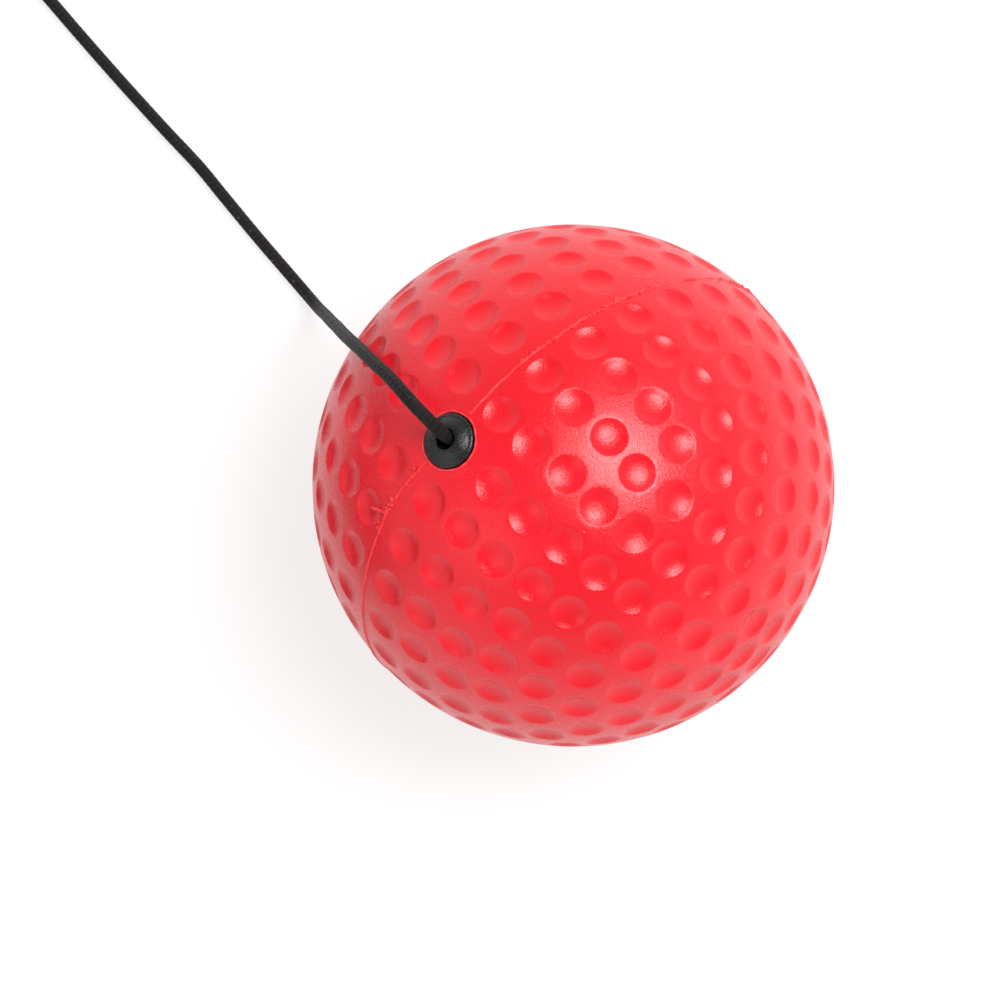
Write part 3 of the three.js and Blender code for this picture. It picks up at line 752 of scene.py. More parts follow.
def moved_on_sphere(points, centres, arcs):
    """Points put at the given arcs from their centres, in the directions they lie in."""
    away = unit(points - centres * np.einsum("ij,ij->i", points, centres)[:, None])
    angle = (arcs / BALL_RADIUS)[:, None]
    return centres * np.cos(angle) + away * np.sin(angle)


RIM_ROUND, RIM_DROP = 0.07, 0.02  # a dimple's rim: half its width, and how far its middle loop lies below
LIP_HEIGHT = 0.15  # the foam's lip round the plug
PLUG_SEAT_RADIUS = 3.36
SEAT_HEIGHT = BALL_RADIUS - 0.9
BALL_FREQUENCY = 80
# Under the plug: the seat, the bore and the washer's pocket, as (radius, height) from the middle out.
SOCKET = [
    (0.0, POCKET_BOTTOM), (1.6, POCKET_BOTTOM), (POCKET_RADIUS, POCKET_BOTTOM),
    (POCKET_RADIUS, PLUG_BOTTOM), (SLEEVE_RADIUS + 0.35, PLUG_BOTTOM),
    (SLEEVE_RADIUS + 0.35, SEAT_HEIGHT), (PLUG_SEAT_RADIUS, SEAT_HEIGHT),
]


def all_edges(faces):
    return np.vstack([faces[:, [0, 1]], faces[:, [1, 2]], faces[:, [2, 0]]])


def rimmed_sphere(centres, radii):
    """A geodesic sphere whose edges follow every rim, each rim a narrow round of three loops."""
    points, faces = geodesic(BALL_FREQUENCY)
    plug = len(centres) - 1
    which, arc = nearest(points, centres)
    from_plug = np.arccos(np.clip(points @ centres[plug], -1, 1)) * BALL_RADIUS
    by_plug = from_plug < radii[plug] + 0.6
    which[by_plug], arc[by_plug] = plug, from_plug[by_plug]
    beyond = arc - radii[which]
    ends = all_edges(faces)
    crossing = ends[(beyond[ends[:, 0]] < 0) != (beyond[ends[:, 1]] < 0)]
    nearer = np.abs(beyond[crossing]).argmin(1)
    rims = np.unique(crossing[np.arange(len(crossing)), nearer])
    arc[rims] = radii[which[rims]]
    points[rims] = moved_on_sphere(points[rims], centres[which[rims]], arc[rims])
    middle, from_middle = nearest(unit(points[faces].mean(1)), centres)
    within = from_middle < radii[middle]

    count = len(points)
    order = np.full(count, -1)
    order[rims] = np.arange(len(rims))
    inner, outer = count + order, count + len(rims) + order
    which = np.concatenate([which, which[rims], which[rims]])
    arc = np.concatenate([arc, arc[rims] - RIM_ROUND, arc[rims] + RIM_ROUND])
    points = np.vstack([points, points[rims], points[rims]])
    points[count:] = moved_on_sphere(points[count:], centres[which[count:]], arc[count:])
    on_rim = order[faces] >= 0
    triangles = np.where(on_rim, np.where(within[:, None], inner[faces], outer[faces]), faces)

    key = ends[:, 0] * count + ends[:, 1]
    sorted_keys = np.argsort(key)
    twin = sorted_keys[np.searchsorted(key[sorted_keys], ends[:, 1] * count + ends[:, 0])]
    inside = np.tile(within, 3)
    a, b = ends[(order[ends] >= 0).all(1) & inside & ~inside[twin]].T
    quads = np.vstack([np.stack([inner[b], inner[a], a, b], 1), np.stack([b, a, outer[a], outer[b]], 1)])
    return points, list(triangles) + list(quads), which, arc


def ball_shape():
    centres = np.vstack([dimple_centres(), PLUG_AXIS])
    radii = np.full(len(centres), DIMPLE_RADIUS)
    radii[-1] = PLUG_SEAT_RADIUS
    points, faces, which, arc = rimmed_sphere(centres, radii)
    share = arc / radii[which]
    by_plug = which == len(centres) - 1
    height = np.full(len(points), BALL_RADIUS)
    height -= np.where(~by_plug & (share < 1), dimple_depth(share), 0)
    height -= np.where(~by_plug & (np.abs(share - 1) < 1e-6), RIM_DROP, 0)
    raised = LIP_HEIGHT * bump_at(arc, PLUG_SEAT_RADIUS + 0.3, 0.28)
    height += np.where(by_plug & (share >= 1), raised, 0)
    solid = points * height[:, None]

    under = by_plug & (share < 1 - 1e-6)
    levels = len(SOCKET) - 1
    level = np.clip(np.round(share[under] * (levels + 0.5)), 0, levels).astype(int)
    socket = np.array(SOCKET)[level]
    away = points[under] - PLUG_AXIS * (points[under] @ PLUG_AXIS)[:, None]
    away = away / np.maximum(np.linalg.norm(away, axis=1, keepdims=True), 1e-9)
    solid[under] = away * socket[:, :1] + PLUG_AXIS * socket[:, 1:]
    return BALL_CENTRE + solid, faces


def add_ball(material):
    points, faces = ball_shape()
    used = np.unique(np.concatenate(faces))
    order = np.full(len(points), -1)
    order[used] = np.arange(len(used))
    shape = points[used], [order[f] for f in faces]
    ball = add_piece("dimpled_ball", shape, material, "ball", ["ball_foam"])


def seam_point(arc, aside, height=0.0):
    """A point by the mould line: an arc from the plug, a distance aside, and a height off the ball."""
    pole = unit(DIMPLE_POLE)
    zero = unit(PLUG_AXIS - pole * PLUG_AXIS.dot(pole))
    turn = arc / BALL_RADIUS
    level = np.outer(np.cos(turn), zero) + np.outer(np.sin(turn), np.cross(pole, zero))
    round_ball = math.pi * BALL_RADIUS
    drift = np.interp((arc + round_ball) % (2 * round_ball) - round_ball, *zip(*SEAM_DRIFT))
    lift = (drift + aside) / BALL_RADIUS
    direction = np.cos(lift)[:, None] * level + np.outer(np.sin(lift), pole)
    return BALL_CENTRE + direction * (BALL_RADIUS + np.broadcast_to(height, arc.shape))[:, None]


def smooth_noise(seed, at, wavelength):
    """Noise from 0 to 1 along a line, alike on every run."""
    dice = np.random.default_rng(seed)
    values = dice.random(int((at.max() - at.min()) / wavelength) + 3)
    return np.interp((at - at.min()) / wavelength, np.arange(len(values)), values)


def bump_at(at, middle, reach):
    return np.exp(-((at - middle) / reach) ** 2)


def add_mould_line(material):
    """The thin ridge of flash where the mould's halves met: cleaner below the plug, ragged above."""
    round_ball = 2 * math.pi * BALL_RADIUS
    run = np.arange(3.8, round_ball - 3.8, 0.15)
    above = round_ball - run  # the distance from the plug going the other way
    beads = smooth_noise(11, run, 0.55)
    ragged = np.clip((52 - above) / 6, 0, 1)
    height = 0.13 + 0.08 * smooth_noise(12, run, 0.8)
    height += ragged * (0.24 * np.clip((beads - 0.5) / 0.2, 0, 1) - 0.11)
    height += 0.35 * bump_at(above, 51, 3) * smooth_noise(13, run, 0.4)
    height += 0.12 * bump_at(run, 11, 4) * beads
    half_width = 0.13 + 0.05 * smooth_noise(14, run, 0.6) + 0.07 * ragged * beads
    wobble = 0.16 * (smooth_noise(15, run, 1.1) - 0.5) * (0.4 + ragged)
    line = seam_point(run, wobble)
    out = unit(line - BALL_CENTRE)
    side = np.cross(tangents_of(line), out)
    section = [(-1, -0.7), (-0.75, 0.15), (-0.3, 0.85), (0.3, 0.85), (0.75, 0.15), (1, -0.7)]
    shape = sweep(line, side * half_width[:, None], out * height[:, None], section)
    add_piece("mould_line", shape[:2], material, "ball")


def add_flash_crumbs(material):
    """Crumbs of torn flash, thickest on both sides of the plug."""
    dice = np.random.default_rng(21)
    lump, lump_faces = geodesic(2)
    places = [(dice.normal(10.5, 3.0), dice.normal(-0.1, 0.22)) for _ in range(34)]
    places += [(dice.normal(-21.0, 5.5), dice.normal(0.0, 0.13)) for _ in range(46)]
    places += [(12.3 + 1.1 * t, -0.1 - 2.3 * t) for t in np.linspace(0, 1, 13)]  # a run into a dimple
    parts = []
    for arc, aside in places:
        size = dice.uniform(0.10, 0.26)
        middle = seam_point(np.array([arc]), aside, 0.03)[0]
        out = unit(middle - BALL_CENTRE)
        shape = lump * size * dice.uniform(0.6, 1.4, 3) + out * dice.uniform(-0.02, 0.05)
        parts.append((middle + shape * (1 + 0.25 * np.sin(lump[:, :1] * 5 + arc)), lump_faces))
    add_piece("flash_crumbs", merged(parts), material, "ball")


def add_plug_lip(material):
    """The foam's uneven moulded edge round the plug."""
    side = unit(np.cross(PLUG_AXIS, ALONG_Y))
    turn = np.linspace(0, 2 * math.pi, 160, endpoint=False)[:, None]
    reach = PLUG_SEAT_RADIUS + 0.14 + 0.03 * np.sin(7 * turn)
    radial = np.cos(turn) * side + np.sin(turn) * np.cross(PLUG_AXIS, side)
    height = np.sqrt(BALL_RADIUS ** 2 - reach ** 2) + 0.07 + 0.04 * np.sin(4 * turn + 1)
    line = BALL_CENTRE + radial * reach + PLUG_AXIS * height
    shape = tube(line, 0.13, 10, closed=True, relief=lambda along, around: 0.03 * np.sin(along * 4.3))
    add_piece("plug_lip", shape[:2], material, "ball")


def add_plug():
    """The cord's plug: a domed disc with a rounded edge, and its sleeve down into the foam."""
    edge, low = 0.38, SEAT_HEIGHT + 0.35
    shoulder, rim_height = 0.8 * edge, BALL_RADIUS + 0.02
    outline = [(BORE_RADIUS, PLUG_BOTTOM), (SLEEVE_RADIUS, PLUG_BOTTOM), (SLEEVE_RADIUS, low)]
    outline += [(FLANGE_RADIUS - 0.1, low), (FLANGE_RADIUS, low + 0.1)]
    inner = FLANGE_RADIUS - edge
    for turn in np.radians(np.arange(0, 91, 15)):
        outline.append((inner + edge * math.cos(turn), rim_height + shoulder * math.sin(turn)))
    mouth = BORE_RADIUS + 0.12
    for share in np.linspace(0.1, 1, 10):
        crown = (PLUG_TOP - rim_height - shoulder) * (1 - (1 - share) ** 1.5)
        outline.append((inner + share * (mouth - inner), rim_height + shoulder + crown))
    outline += [(BORE_RADIUS + 0.03, PLUG_TOP - 0.06), (BORE_RADIUS, PLUG_TOP - 0.2)]
    shape = lathe(outline, BALL_CENTRE, PLUG_AXIS, 72)
    add_piece("plug_disc", shape, plug_plastic(), "ball", ["cord_plug"])


# ------------------------------------------------------------------ hook, ring and knots

NEAR_BAR, FAR_BAR = pivot("band_swing"), pivot("ring_swing")
BAR_RADIUS, BAR_HALF = 0.9, 6.5
BOW_OUTER, BOW_INNER, NOSE, THROAT = 5.4, 2.9, 1.8, 14.2
HOOK_HALF = 1.8
BARREL_RADIUS, BARREL_END = 3.4, 19.5
GATE_PIN = (16.0, 4.6)
EYE_CENTRE, EYE_RADIUS = 24.8, 3.0
KNOT_RADIUS = 0.72


def in_hook(points):
    """Points given along the hook's axis from its bow, across it, and out of its flat."""
    return HOOK_ORIGIN + np.asarray(points) @ np.array([HOOK_AXIS, HOOK_ACROSS, HOOK_NORMAL])


def add_metal(name, shape, metal, body, node, crease=38):
    add_piece(name, shape[:2], metal, body, [node], crease)


def add_hook_metal(name, shape, *rest):
    add_metal(name, (in_hook(shape[0]), shape[1]), *rest)


def hook_lathe(outline, segments=48):
    return lathe(outline, np.zeros(3), ALONG_X, segments)


def gate_pin_hole(radius):
    return plate(arc_points(GATE_PIN, radius, 0, 337.5, 16), -3, 3, 0.01)


def add_hook(metal):
    """The cast bow, spine and housing in one, with the barrel that the swivel turns in."""
    outline = [(NOSE, BOW_OUTER)] + arc_points((0, 0), BOW_OUTER, 90, 270, 30) + [(THROAT, -BOW_OUTER)]
    outline += [(17.2, -5.1), (18.6, -4.3), (19.1, -3.0), (19.1, 5.0), (18.7, 5.8), (17.9, 6.2)]
    outline += [(THROAT, 6.2), (THROAT, -1.9), (THROAT - 1, -BOW_INNER)]
    outline += arc_points((0, 0), BOW_INNER, 270, 90, 24) + [(NOSE, BOW_INNER)]
    cast = plate(outline, -HOOK_HALF, HOOK_HALF, 0.45)
    r = BARREL_RADIUS
    barrel = [(0.05, THROAT), (r - 0.4, THROAT), (r - 0.1, THROAT + 0.15), (r, THROAT + 0.5)]
    barrel += [(r, 18.2), (r - 0.25, 18.35), (r - 0.25, 18.6), (r, 18.75), (r, 19.1)]
    barrel += [(r - 0.35, BARREL_END), (0.05, BARREL_END)]
    slot = plate([(13.2, 1.75), (15.9, 3.0), (18.5, 3.0), (18.5, 7.2), (13.2, 7.2)], -1, 1, 0.01)
    cavity = [(0.05, 15.4), (2.3, 15.4), (2.3, 17.6), (1.6, 17.6), (1.6, 20.5), (0.05, 20.5)]
    cuts = [slot, gate_pin_hole(0.95), hook_lathe(cavity, 32)]
    solid = solid_of(cast, [hook_lathe(barrel)], cuts)
    add_hook_metal("swivel_hook", solid, metal, "cord_and_hook", "snap_hook_body")


def add_gate(metal):
    """The lever in the hook's mouth, with a thumb ridge, turning on a riveted pin."""
    tip = NOSE + 0.35
    outline = [(tip, 3.4), (GATE_PIN[0] - 0.9, 3.4)] + arc_points(GATE_PIN, 1.5, -53, 90, 10)
    outline += [(12.3, 5.25), (11.7, 6.1), (10.9, 6.35), (10.2, 6.1), (9.4, 5.25)]
    lever = plate(outline + [(tip + 0.3, 5.2), (tip, 4.9)], -0.65, 0.65, 0.18)
    add_hook_metal("hook_gate", solid_of(lever, cut=[gate_pin_hole(0.72)]), metal, "gate", "snap_gate")
    rivet = [(0.03, -2.12), (0.5, -2.1), (0.9, -1.98), (1.15, -1.82), (0.6, -1.78)]
    rivet += [(radius, -height) for radius, height in reversed(rivet)]
    shape = lathe(rivet, in_hook((*GATE_PIN, 0.0)), HOOK_NORMAL, 32)
    add_metal("gate_rivet", shape, metal, "cord_and_hook", "gate_pin", crease=30)


def add_eye(metal):
    turn = np.linspace(0, 2 * math.pi, 64, endpoint=False)
    ring = np.stack([EYE_CENTRE + EYE_RADIUS * np.cos(turn), EYE_RADIUS * np.sin(turn), 0 * turn], 1)
    stem = [(0.03, 15.75), (1.7, 15.75), (1.9, 15.95), (1.9, 17.05), (1.7, 17.25), (1.2, 17.25)]
    stem += [(1.2, 20.2), (1.35, 20.7), (1.05, 21.4), (0.95, 22.3), (0.03, 22.3)]
    shape = merged([tube(ring, 0.92, 20, closed=True), hook_lathe(stem, 32)])
    add_hook_metal("swivel_eye_ring", shape, metal, "swivel", "swivel_eye", 40)


def winding(start, end, radius, turns):
    """Points wound about a knot's own axis, as (along, across, out)."""
    t = np.linspace(0, 1, int(12 * turns) + 1)
    angle = 2 * math.pi * turns * t
    along = start + (end - start) * t
    return np.stack([along, radius * np.cos(angle), radius * np.sin(angle)], 1)


def add_knot(name, line, material, body, node):
    shape = tube(smooth_line(line, 0.25), KNOT_RADIUS, 16, relief=braid)
    return add_piece(name, shape, material, body, [node])


def add_hook_knot(material):
    """The cord's end: a loop through the eye, and two and a quarter turns round the cord above it."""
    rim = EYE_CENTRE + EYE_RADIUS
    tail = [(35.4, 2.3, 0.9), (34.6, 2.0, 0.5)]
    wraps = winding(33.7, 30.6, 1.32, 2.25)
    loop = [(rim, 0, 2.2), (rim - 1.4, 0, 1.75), (rim - 2.15, 0, 0.6)]
    loop = [(29.9, 0.5, 1.7), (rim + 1.2, 0.1, 2.1), *loop, *[(u, 0, -w) for u, _, w in reversed(loop)]]
    core = [(rim + 1.2, 0, -2.0), (30.2, 0, -0.9), (31.4, 0, -0.1), (33.0, 0, 0), (KNOT_END + 0.4, 0, 0)]
    return add_knot("noose_knot", in_hook([*tail, *wraps, *loop, *core]), material, "swivel", "hook_knot")


def add_ball_knot(material):
    """The stop knot in the ball: the cord wound round itself under the washer."""
    low, high = POCKET_BOTTOM + 1.1, CORD_START - 1.1
    local = [*winding(high, low, 1.35, 2.3), (low - 0.1, 0.4, 0.2), (low + 0.8, 0, 0), (CORD_START, 0, 0)]
    side = unit(np.cross(PLUG_AXIS, ALONG_Y))
    line = BALL_CENTRE + np.array(local) @ np.array([PLUG_AXIS, side, np.cross(PLUG_AXIS, side)])
    return add_knot("stop_knot", line, material, "cord_and_hook", "ball_knot")


def add_coil_tie(material):
    """A woven strip closed round the coil, its end lapped over on top."""
    turn = math.radians(245)
    outward = np.array([math.cos(turn), math.sin(turn), 0.0])
    tangent = np.array([-math.sin(turn), math.cos(turn), 0.0])
    inner, outer, low, high = 4.85, 12.6, 0.42, 6.15
    path = [(7.0, high), (inner, high), (inner, low), (outer, low), (outer, high + 0.1)]
    path += [(9.5, high + 0.62), (6.6, high + 0.66)]
    flat = resample(round_corners(path, 1.3, closed=False), 0.3)
    line = COIL_CENTRE + flat @ np.array([outward, UP])
    side = unit(np.cross(tangents_of(line), tangent))
    shape = sweep(line, side, tangent, rounded_rectangle(0.55, 4.0, 0.22, 0.3))
    return add_piece("coil_wrap", shape, material, "cord_and_hook", ["coil_tie"])


def add_ring(metal):
    """The wire ring, standing on edge between the tab and the hook's bow."""
    length = math.dist(FAR_BAR, NEAR_BAR)
    outline = [(0, -BAR_HALF), (length - 1.4, -BAR_HALF), (length, -BAR_HALF + 1.6)]
    outline += [(x, -z) for x, z in reversed(outline)]
    flat = closed_path(outline, 1.7, 0.35)
    line = NEAR_BAR + flat @ np.array([unit(FAR_BAR - NEAR_BAR), UP])
    add_metal("wire_ring", tube(line, BAR_RADIUS, 20, closed=True), metal, "ring", "d_ring", 40)


# ------------------------------------------------------------------ headband

BAND_SIDE, BAND_FRONT = 64.0, 88.0  # the ellipse of its middle line
PANEL_HALF, PANEL_THICK, PANEL_TOP = 105.0, 4.0, 38.0
PATCH_HALF, PATCH_THICK, PATCH_OFFSET, PATCH_LOW, PATCH_HIGH = 17.0, 1.2, 2.95, 3.0, 35.0
STRAP_THICK, STRAP_LOW, STRAP_HIGH = 2.0, 4.0, 34.0
BAR_OFFSET, TURN_RADIUS = 2.85, 2.85  # the closure's bars stand outside the strap, which turns round them
RETURN_OFFSET = BAR_OFFSET + TURN_RADIUS
RIGHT_BAR, LEFT_BAR, RETURN_END = -214.0, -226.0, -150.0
TAPE_FROM, TAPE_TO, TAPE_LOW, TAPE_HIGH = -206.0, -154.0, 6.0, 32.0
QUILT_PITCH = 15.0
BAND_CENTRE = NEAR_BAR * [1, 1, 0] - [0, BAND_FRONT + PANEL_THICK / 2 + 7, 0]

BAND_TURN = np.linspace(math.pi / 2, 2.5 * math.pi, 6001)
BAND_RUN = distances(np.stack([BAND_SIDE * np.cos(BAND_TURN), BAND_FRONT * np.sin(BAND_TURN)], axis=1))


def on_band(distance, offset=0.0, height=0.0):
    """Points round the headband, a distance from its front, offset outwards, at a height."""
    distance, offset, height = np.broadcast_arrays(distance, offset, height)
    turn = np.interp(np.mod(distance, BAND_RUN[-1]), BAND_RUN, BAND_TURN)
    level = np.stack([BAND_SIDE * np.cos(turn), BAND_FRONT * np.sin(turn), 0 * turn], axis=-1)
    out = unit(np.stack([BAND_FRONT * np.cos(turn), BAND_SIDE * np.sin(turn), 0 * turn], axis=-1))
    return BAND_CENTRE + level + out * offset[..., None] + height[..., None] * UP


def out_of_band(distance):
    return on_band(distance, 1.0) - on_band(distance, 0.0)


def run_of(start, end, step):
    return np.linspace(start, end, max(2, int(abs(end - start) / step) + 1))


def band_stitches(place, offset, height, face=1):
    """Stitches along or up the headband, on its outer face or, with -1, its inner one."""
    return stitches(on_band(place, offset * face, height), face * out_of_band(place))


def seam_share(along, height):
    """1 on the panel's sewn lines and edges, falling to 0 between them."""
    fall = 1.6
    from_line = np.abs((along + QUILT_PITCH / 2) % QUILT_PITCH - QUILT_PITCH / 2)
    from_binding = np.minimum(height, PANEL_TOP - height) - 2.5
    return np.clip(1 - np.minimum(from_line, from_binding) / fall, 0, 1)


def puffed(piece, sewn, cap):
    """Inflates a padded piece by cloth simulation, held at its seams, and limits how far it moves."""
    start = vertices_of(piece.data)
    group = piece.vertex_groups.new(name="sewn")
    for k, share in enumerate(sewn):
        group.add([k], float(share), "REPLACE")
    cloth = piece.modifiers.new("padding", "CLOTH")
    cloth.settings.vertex_group_mass = "sewn"
    cloth.settings.use_pressure = True
    cloth.settings.uniform_pressure_force = 6.0
    cloth.settings.effector_weights.gravity = 0.0
    cloth.settings.quality = 6
    scene = bpy.context.scene
    for frame_number in range(1, 16):
        scene.frame_set(frame_number)
    evaluated = piece.evaluated_get(bpy.context.evaluated_depsgraph_get())
    move = vertices_of(evaluated.to_mesh()) - start
    size = np.linalg.norm(move, axis=1, keepdims=True)
    move *= np.minimum(1, cap * MM / np.maximum(size, 1e-9))
    piece.modifiers.remove(cloth)
    piece.vertex_groups.remove(group)
    piece.data.vertices.foreach_set("co", (start + move).ravel())
    scene.frame_set(1)


def add_panel(material, tape, thread):
    """The padded front: a knitted cover over foam, sewn in upright channels and bound with tape."""
    run = run_of(-PANEL_HALF, PANEL_HALF, 1.5)
    line = on_band(run, 0.0, PANEL_TOP / 2)
    side = out_of_band(run)
    section = rounded_rectangle(2.6, PANEL_TOP - 0.9, 0.9, 1.5)
    points, faces, flow = sweep(line, side, UP, section)
    sewn = seam_share(np.repeat(run, len(section)), points[:, 2])
    inward = np.repeat(line, len(section), 0) - points
    inward[:, 2] = 0
    shape = points + inward * (0.3 * sewn)[:, None], faces, flow
    panel = add_piece("front_pad", shape, material, "headband", ["front_panel"])
    puffed(panel, np.clip(sewn * 1.5, 0, 1), 0.85)
    smooth = panel.modifiers.new("smooth", "SUBSURF")
    smooth.levels = smooth.render_levels = 1
    evaluated = panel.evaluated_get(bpy.context.evaluated_depsgraph_get())
    panel.data = bpy.data.meshes.new_from_object(evaluated)
    panel.modifiers.clear()

    folded = [(-2.0, 3.1), (-2.0, 1.0), (-1.4, 0.25), (0, 0.05), (1.4, 0.25), (2.0, 1.0), (2.0, 3.1)]
    folded += [(1.5, 3.0), (1.45, 1.2), (1.0, 0.75), (0, 0.6), (-1.0, 0.75), (-1.45, 1.2), (-1.5, 3.0)]
    line = on_band(run)
    bindings = {
        "binding_lower": sweep(line, side, UP, folded),
        "binding_upper": sweep(line, side, UP, [(a, PANEL_TOP - z) for a, z in reversed(folded)]),
    }
    for name, end in (("binding_right", -1), ("binding_left", 1)):
        edge = on_band(run_of(end * (PANEL_HALF - 4.4), end * PANEL_HALF, 0.7))
        bindings[name] = standing(edge, 4.0, 0.1, PANEL_TOP - 0.1, 0.8, 0.8)
    for name, shape in bindings.items():
        add_piece(name, shape, tape, "headband")

    rows = []
    for height, face in itertools.product((2.2, PANEL_TOP - 2.2), (-1, 1)):
        rows.append(band_stitches(run_of(-99, 99, 1), 2.0, height, face))
    for place, face in itertools.product(np.arange(-6, 7) * QUILT_PITCH, (-1, 1)):
        if face == -1 or abs(place) >= PATCH_HALF:
            rows.append(band_stitches(place, 0.95, np.linspace(4.5, PANEL_TOP - 4.5, 8), face))
    for place, face in itertools.product((-103.3, 103.3), (-1, 1)):
        rows.append(band_stitches(place, 2.0, np.linspace(3, PANEL_TOP - 3, 8), face))
    add_piece("pad_stitching", merged(rows), thread, "headband")


def add_patch(material, thread):
    """The reinforcing patch on the front, which the ring's tab is sewn to."""
    run = run_of(-PATCH_HALF, PATCH_HALF, 0.5)
    tall = 1 - 0.09 * np.clip((np.abs(run) - PATCH_HALF + 2.4) / 2.4, 0, 1) ** 2
    shape = standing(on_band(run, PATCH_OFFSET), PATCH_THICK, PATCH_LOW, PATCH_HIGH, 0.5, 0.6, tall=tall)
    patch = add_piece("sewn_patch", shape, material, "headband", ["front_patch"])
    in_from_edge = 1.8
    low, high, edge = PATCH_LOW + in_from_edge, PATCH_HIGH - in_from_edge, PATCH_HALF - in_from_edge
    surface = PATCH_OFFSET + PATCH_THICK / 2
    rows = [band_stitches(run_of(-edge, edge, 1), surface, height) for height in (low, high)]
    rows += [band_stitches(place, surface, np.linspace(low, high, 8)) for place in (-edge, edge)]
    add_piece("patch_stitching", merged(rows), thread, "headband")


def add_ring_tab(material, thread):
    """A webbing fold round the ring's near bar, its two feet sewn to the patch."""
    foot, bend = -4.62, 1.85
    path = [(-9.0, foot), (-1.5, foot), (-0.55, foot + 0.9), (-0.55, -2.4)]
    path += arc_points((0, 0), bend, 253, -73, 22)
    path += [(0.55, -2.4), (0.55, foot + 0.9), (1.5, foot), (9.0, foot)]
    flat = resample(round_corners(path, 0.8, closed=False), 0.25)
    line = np.column_stack([NEAR_BAR[:2] + flat, np.zeros(len(flat))])
    shape = standing(line, 1.0, 8, 18, 0.35, 0.4)
    add_piece("webbing_tab", shape, material, "headband", ["ring_tab"])
    rows = []
    for x in (-7.6, -3.2, 3.2, 7.6):
        upright = [(NEAR_BAR[0] + x, NEAR_BAR[1] + foot + 0.5, height) for height in np.linspace(9, 17, 5)]
        rows.append(stitches(np.array(upright), ALONG_Y, 1.9, 1.4))
    add_piece("tab_stitching", merged(rows), thread, "headband")


def turn_round(bar, sign):
    """The strap's middle line round a bar, from the inner layer out to the returning one."""
    angle = np.arange(1, 8) / 8 * math.pi
    return on_band(bar + sign * TURN_RADIUS * np.sin(angle), BAR_OFFSET - TURN_RADIUS * np.cos(angle))


def ribs(along, around):
    return 0.07 * np.sin(around * 2 * math.pi / 1.25)


def add_straps(material, thread):
    """The two elastic straps: one sewn to the closure ring, the other threaded through it and back."""
    inside = 101.0  # where they start, sewn into the panel's ends
    out = on_band(run_of(-inside, RIGHT_BAR, 8))
    back = on_band(run_of(RIGHT_BAR, RETURN_END, 8), RETURN_OFFSET)
    right = smooth_line(np.vstack([out, turn_round(RIGHT_BAR, -1), back]), 1.2)
    bar = LEFT_BAR + BAND_RUN[-1]
    out = on_band(run_of(inside, bar, 8))
    fall = [on_band(bar, RETURN_OFFSET), on_band(bar - 4, RETURN_OFFSET - 0.55), on_band(bar - 9, 2.9)]
    sewn = on_band(run_of(bar - 13, bar - 27, 7), 2.35)
    left = smooth_line(np.vstack([out, turn_round(bar, 1), np.array(fall), sewn]), 1.2)
    for name, line, node in (("strap_threaded", right, "strap_right"), ("strap_sewn", left, "strap_left")):
        shape = standing(line, STRAP_THICK - 0.15, STRAP_LOW, STRAP_HIGH, 0.6, 0.31, relief=ribs)
        add_piece(name, shape, material, "headband", [node])
    surface = 2.35 + STRAP_THICK / 2
    near, far, low, high = bar - 15.5, bar - 24.5, 7, 31
    rows = [band_stitches(place, surface, np.linspace(low, high, 6)) for place in (near, far)]
    rows += [band_stitches(run_of(far, near, 1), surface, height) for height in (low, high)]
    run, surface = run_of(TAPE_FROM + 2, TAPE_TO - 2, 1), RETURN_OFFSET + STRAP_THICK / 2
    rows += [band_stitches(run, surface, height) for height in (TAPE_LOW + 1.5, TAPE_HIGH - 1.5)]
    add_piece("strap_stitching", merged(rows), thread, "headband")


def add_closure(plastic):
    right, left = on_band(RIGHT_BAR, BAR_OFFSET), on_band(LEFT_BAR, BAR_OFFSET)
    corners = [left + 2 * UP, right + 2 * UP, right + 36 * UP, left + 36 * UP]
    shape = tube(closed_path(corners, 2.6, 0.5), 1.5, 24, closed=True)
    add_piece("closure_loop", shape[:2], plastic, "headband", ["closure_ring"])


def add_tapes(pile, plastic):
    """The hook-and-loop closure between the strap and its returning end."""
    run = run_of(TAPE_FROM, TAPE_TO, 0.8)
    shape = standing(on_band(run, 1.95), 1.2, TAPE_LOW, TAPE_HIGH, 0.4, 0.8)
    add_piece("loop_tape", shape, pile, "headband", ["loop_patch"])
    parts = [standing(on_band(run, 4.0), 0.7, TAPE_LOW, TAPE_HIGH, 0.2, 0.8)]
    for row, place in enumerate(np.arange(TAPE_FROM + 1.5, TAPE_TO - 1, 1.7)):
        out = out_of_band(place)
        along = np.cross(UP, out)
        for height in np.arange(TAPE_LOW + 1.2 + 0.4 * (row % 2), TAPE_HIGH - 1, 1.7):
            foot = on_band(place, 3.7, height)
            bent = [(0, 0), (-0.45, 0), (-0.7, 0.12), (-0.68, 0.4)]
            parts.append(tube(foot + np.array(bent) @ [out, along], 0.12, 5))
    add_piece("hook_tape", merged(parts), plastic, "headband", ["hook_patch"])


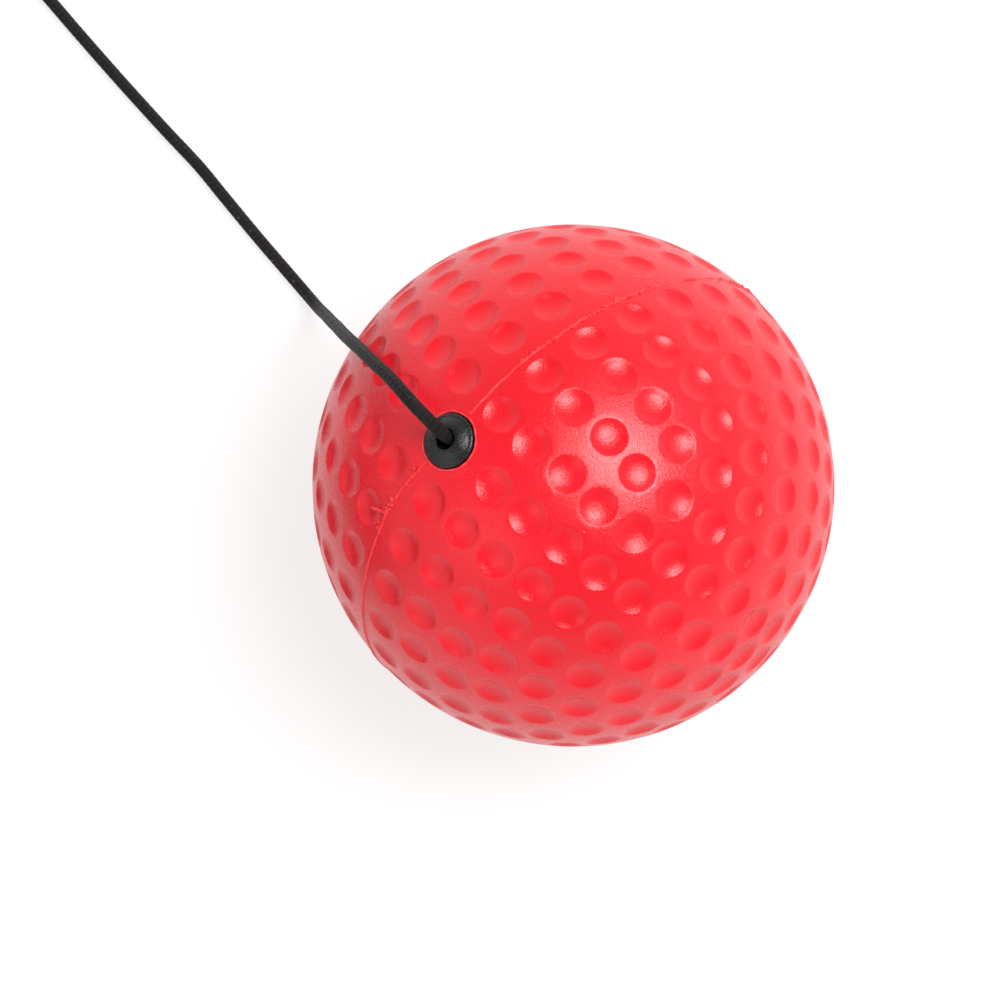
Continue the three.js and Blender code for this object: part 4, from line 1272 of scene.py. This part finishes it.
def add_grips(rubber):
    """Two raised silicone lines inside the panel, beaded to hold on hair or skin."""
    run = run_of(-85, 85, 0.5)
    for name, low, node in (("grip_lower", 10, "grip_strip_lower"), ("grip_upper", 25, "grip_strip_upper")):
        beads = 0.78 + 0.22 * np.abs(np.sin(run * math.pi / 4))
        ends = np.clip((85.6 - np.abs(run)) / 2.0, 0.1, 1) ** 0.5
        shape = standing(on_band(run, -2.75), 0.8, low, low + 3, 0.7, 0.25, tall=beads * ends)
        add_piece(name, shape[:2], rubber, "headband", [node])


def add_pull_tab(rubber):
    """The moulded tab on the strap's end, rounded and ribbed for the fingers."""
    run = run_of(RETURN_END + 0.35, RETURN_END + 14.35, 0.25)
    to_end = run[-1] - run
    tall = np.sqrt(1 - np.clip(1 - to_end / 5.5, 0, 1) ** 2 * 0.92)
    shape = standing(on_band(run, RETURN_OFFSET), 2.0, 9, 29, 0.8, 0.5, tall=tall)
    parts = [shape]
    for place in RETURN_END + np.array([3.6, 5.8, 8.0, 10.2]):
        bar = on_band(place, RETURN_OFFSET + 0.95, np.linspace(12.5, 25.5, 9))
        parts.append(tube(bar, 0.42, 10))
    add_piece("finger_tab", merged(parts), rubber, "pull_tab", ["pull_tab"])


def dress(node, material):
    """Gives a carried-over CAD node its material."""
    materials = frame["nodes"][node].data.materials
    materials.clear()
    materials.append(material)


# ------------------------------------------------------------------ assembly

add_camera()
add_light()
add_floor()
braided = braided_cord()
webbing = woven("nylon_webbing", 0.016, 1.1, 1.5, 0.16)
on_the_cord = [add_ball_knot(braided), add_coil_tie(webbing), add_hook_knot(braided)]
add_cord(braided)
add_ball(foam_skin())
flash = flash_skin()
add_mould_line(flash)
add_flash_crumbs(flash)
add_plug_lip(flash)
add_plug()

metal = nickel()
add_hook(metal)
add_gate(metal)
add_eye(metal)
add_ring(metal)

thread = sewing_thread()
plastic = moulded_plastic("black_nylon", 0.012)
rubber = silicone_rubber()
add_panel(woven("knitted_cover", 0.02, 0.9, 1.3, 0.14, sheen=0.3), webbing, thread)
add_patch(woven("pack_cloth", 0.018, 0.7, 0.7, 0.08), thread)
add_ring_tab(webbing, thread)
add_straps(woven("ribbed_elastic", 0.02, 1.25, 0.9, 0.12, sheen=0.2), thread)
add_closure(plastic)
add_tapes(loop_pile(), moulded_plastic("hook_tape_plastic", 0.03))
add_grips(rubber)
add_pull_tab(moulded_plastic("tab_rubber", 0.02))
dress("stop_washer", plastic)
dress("gate_spring", metal)
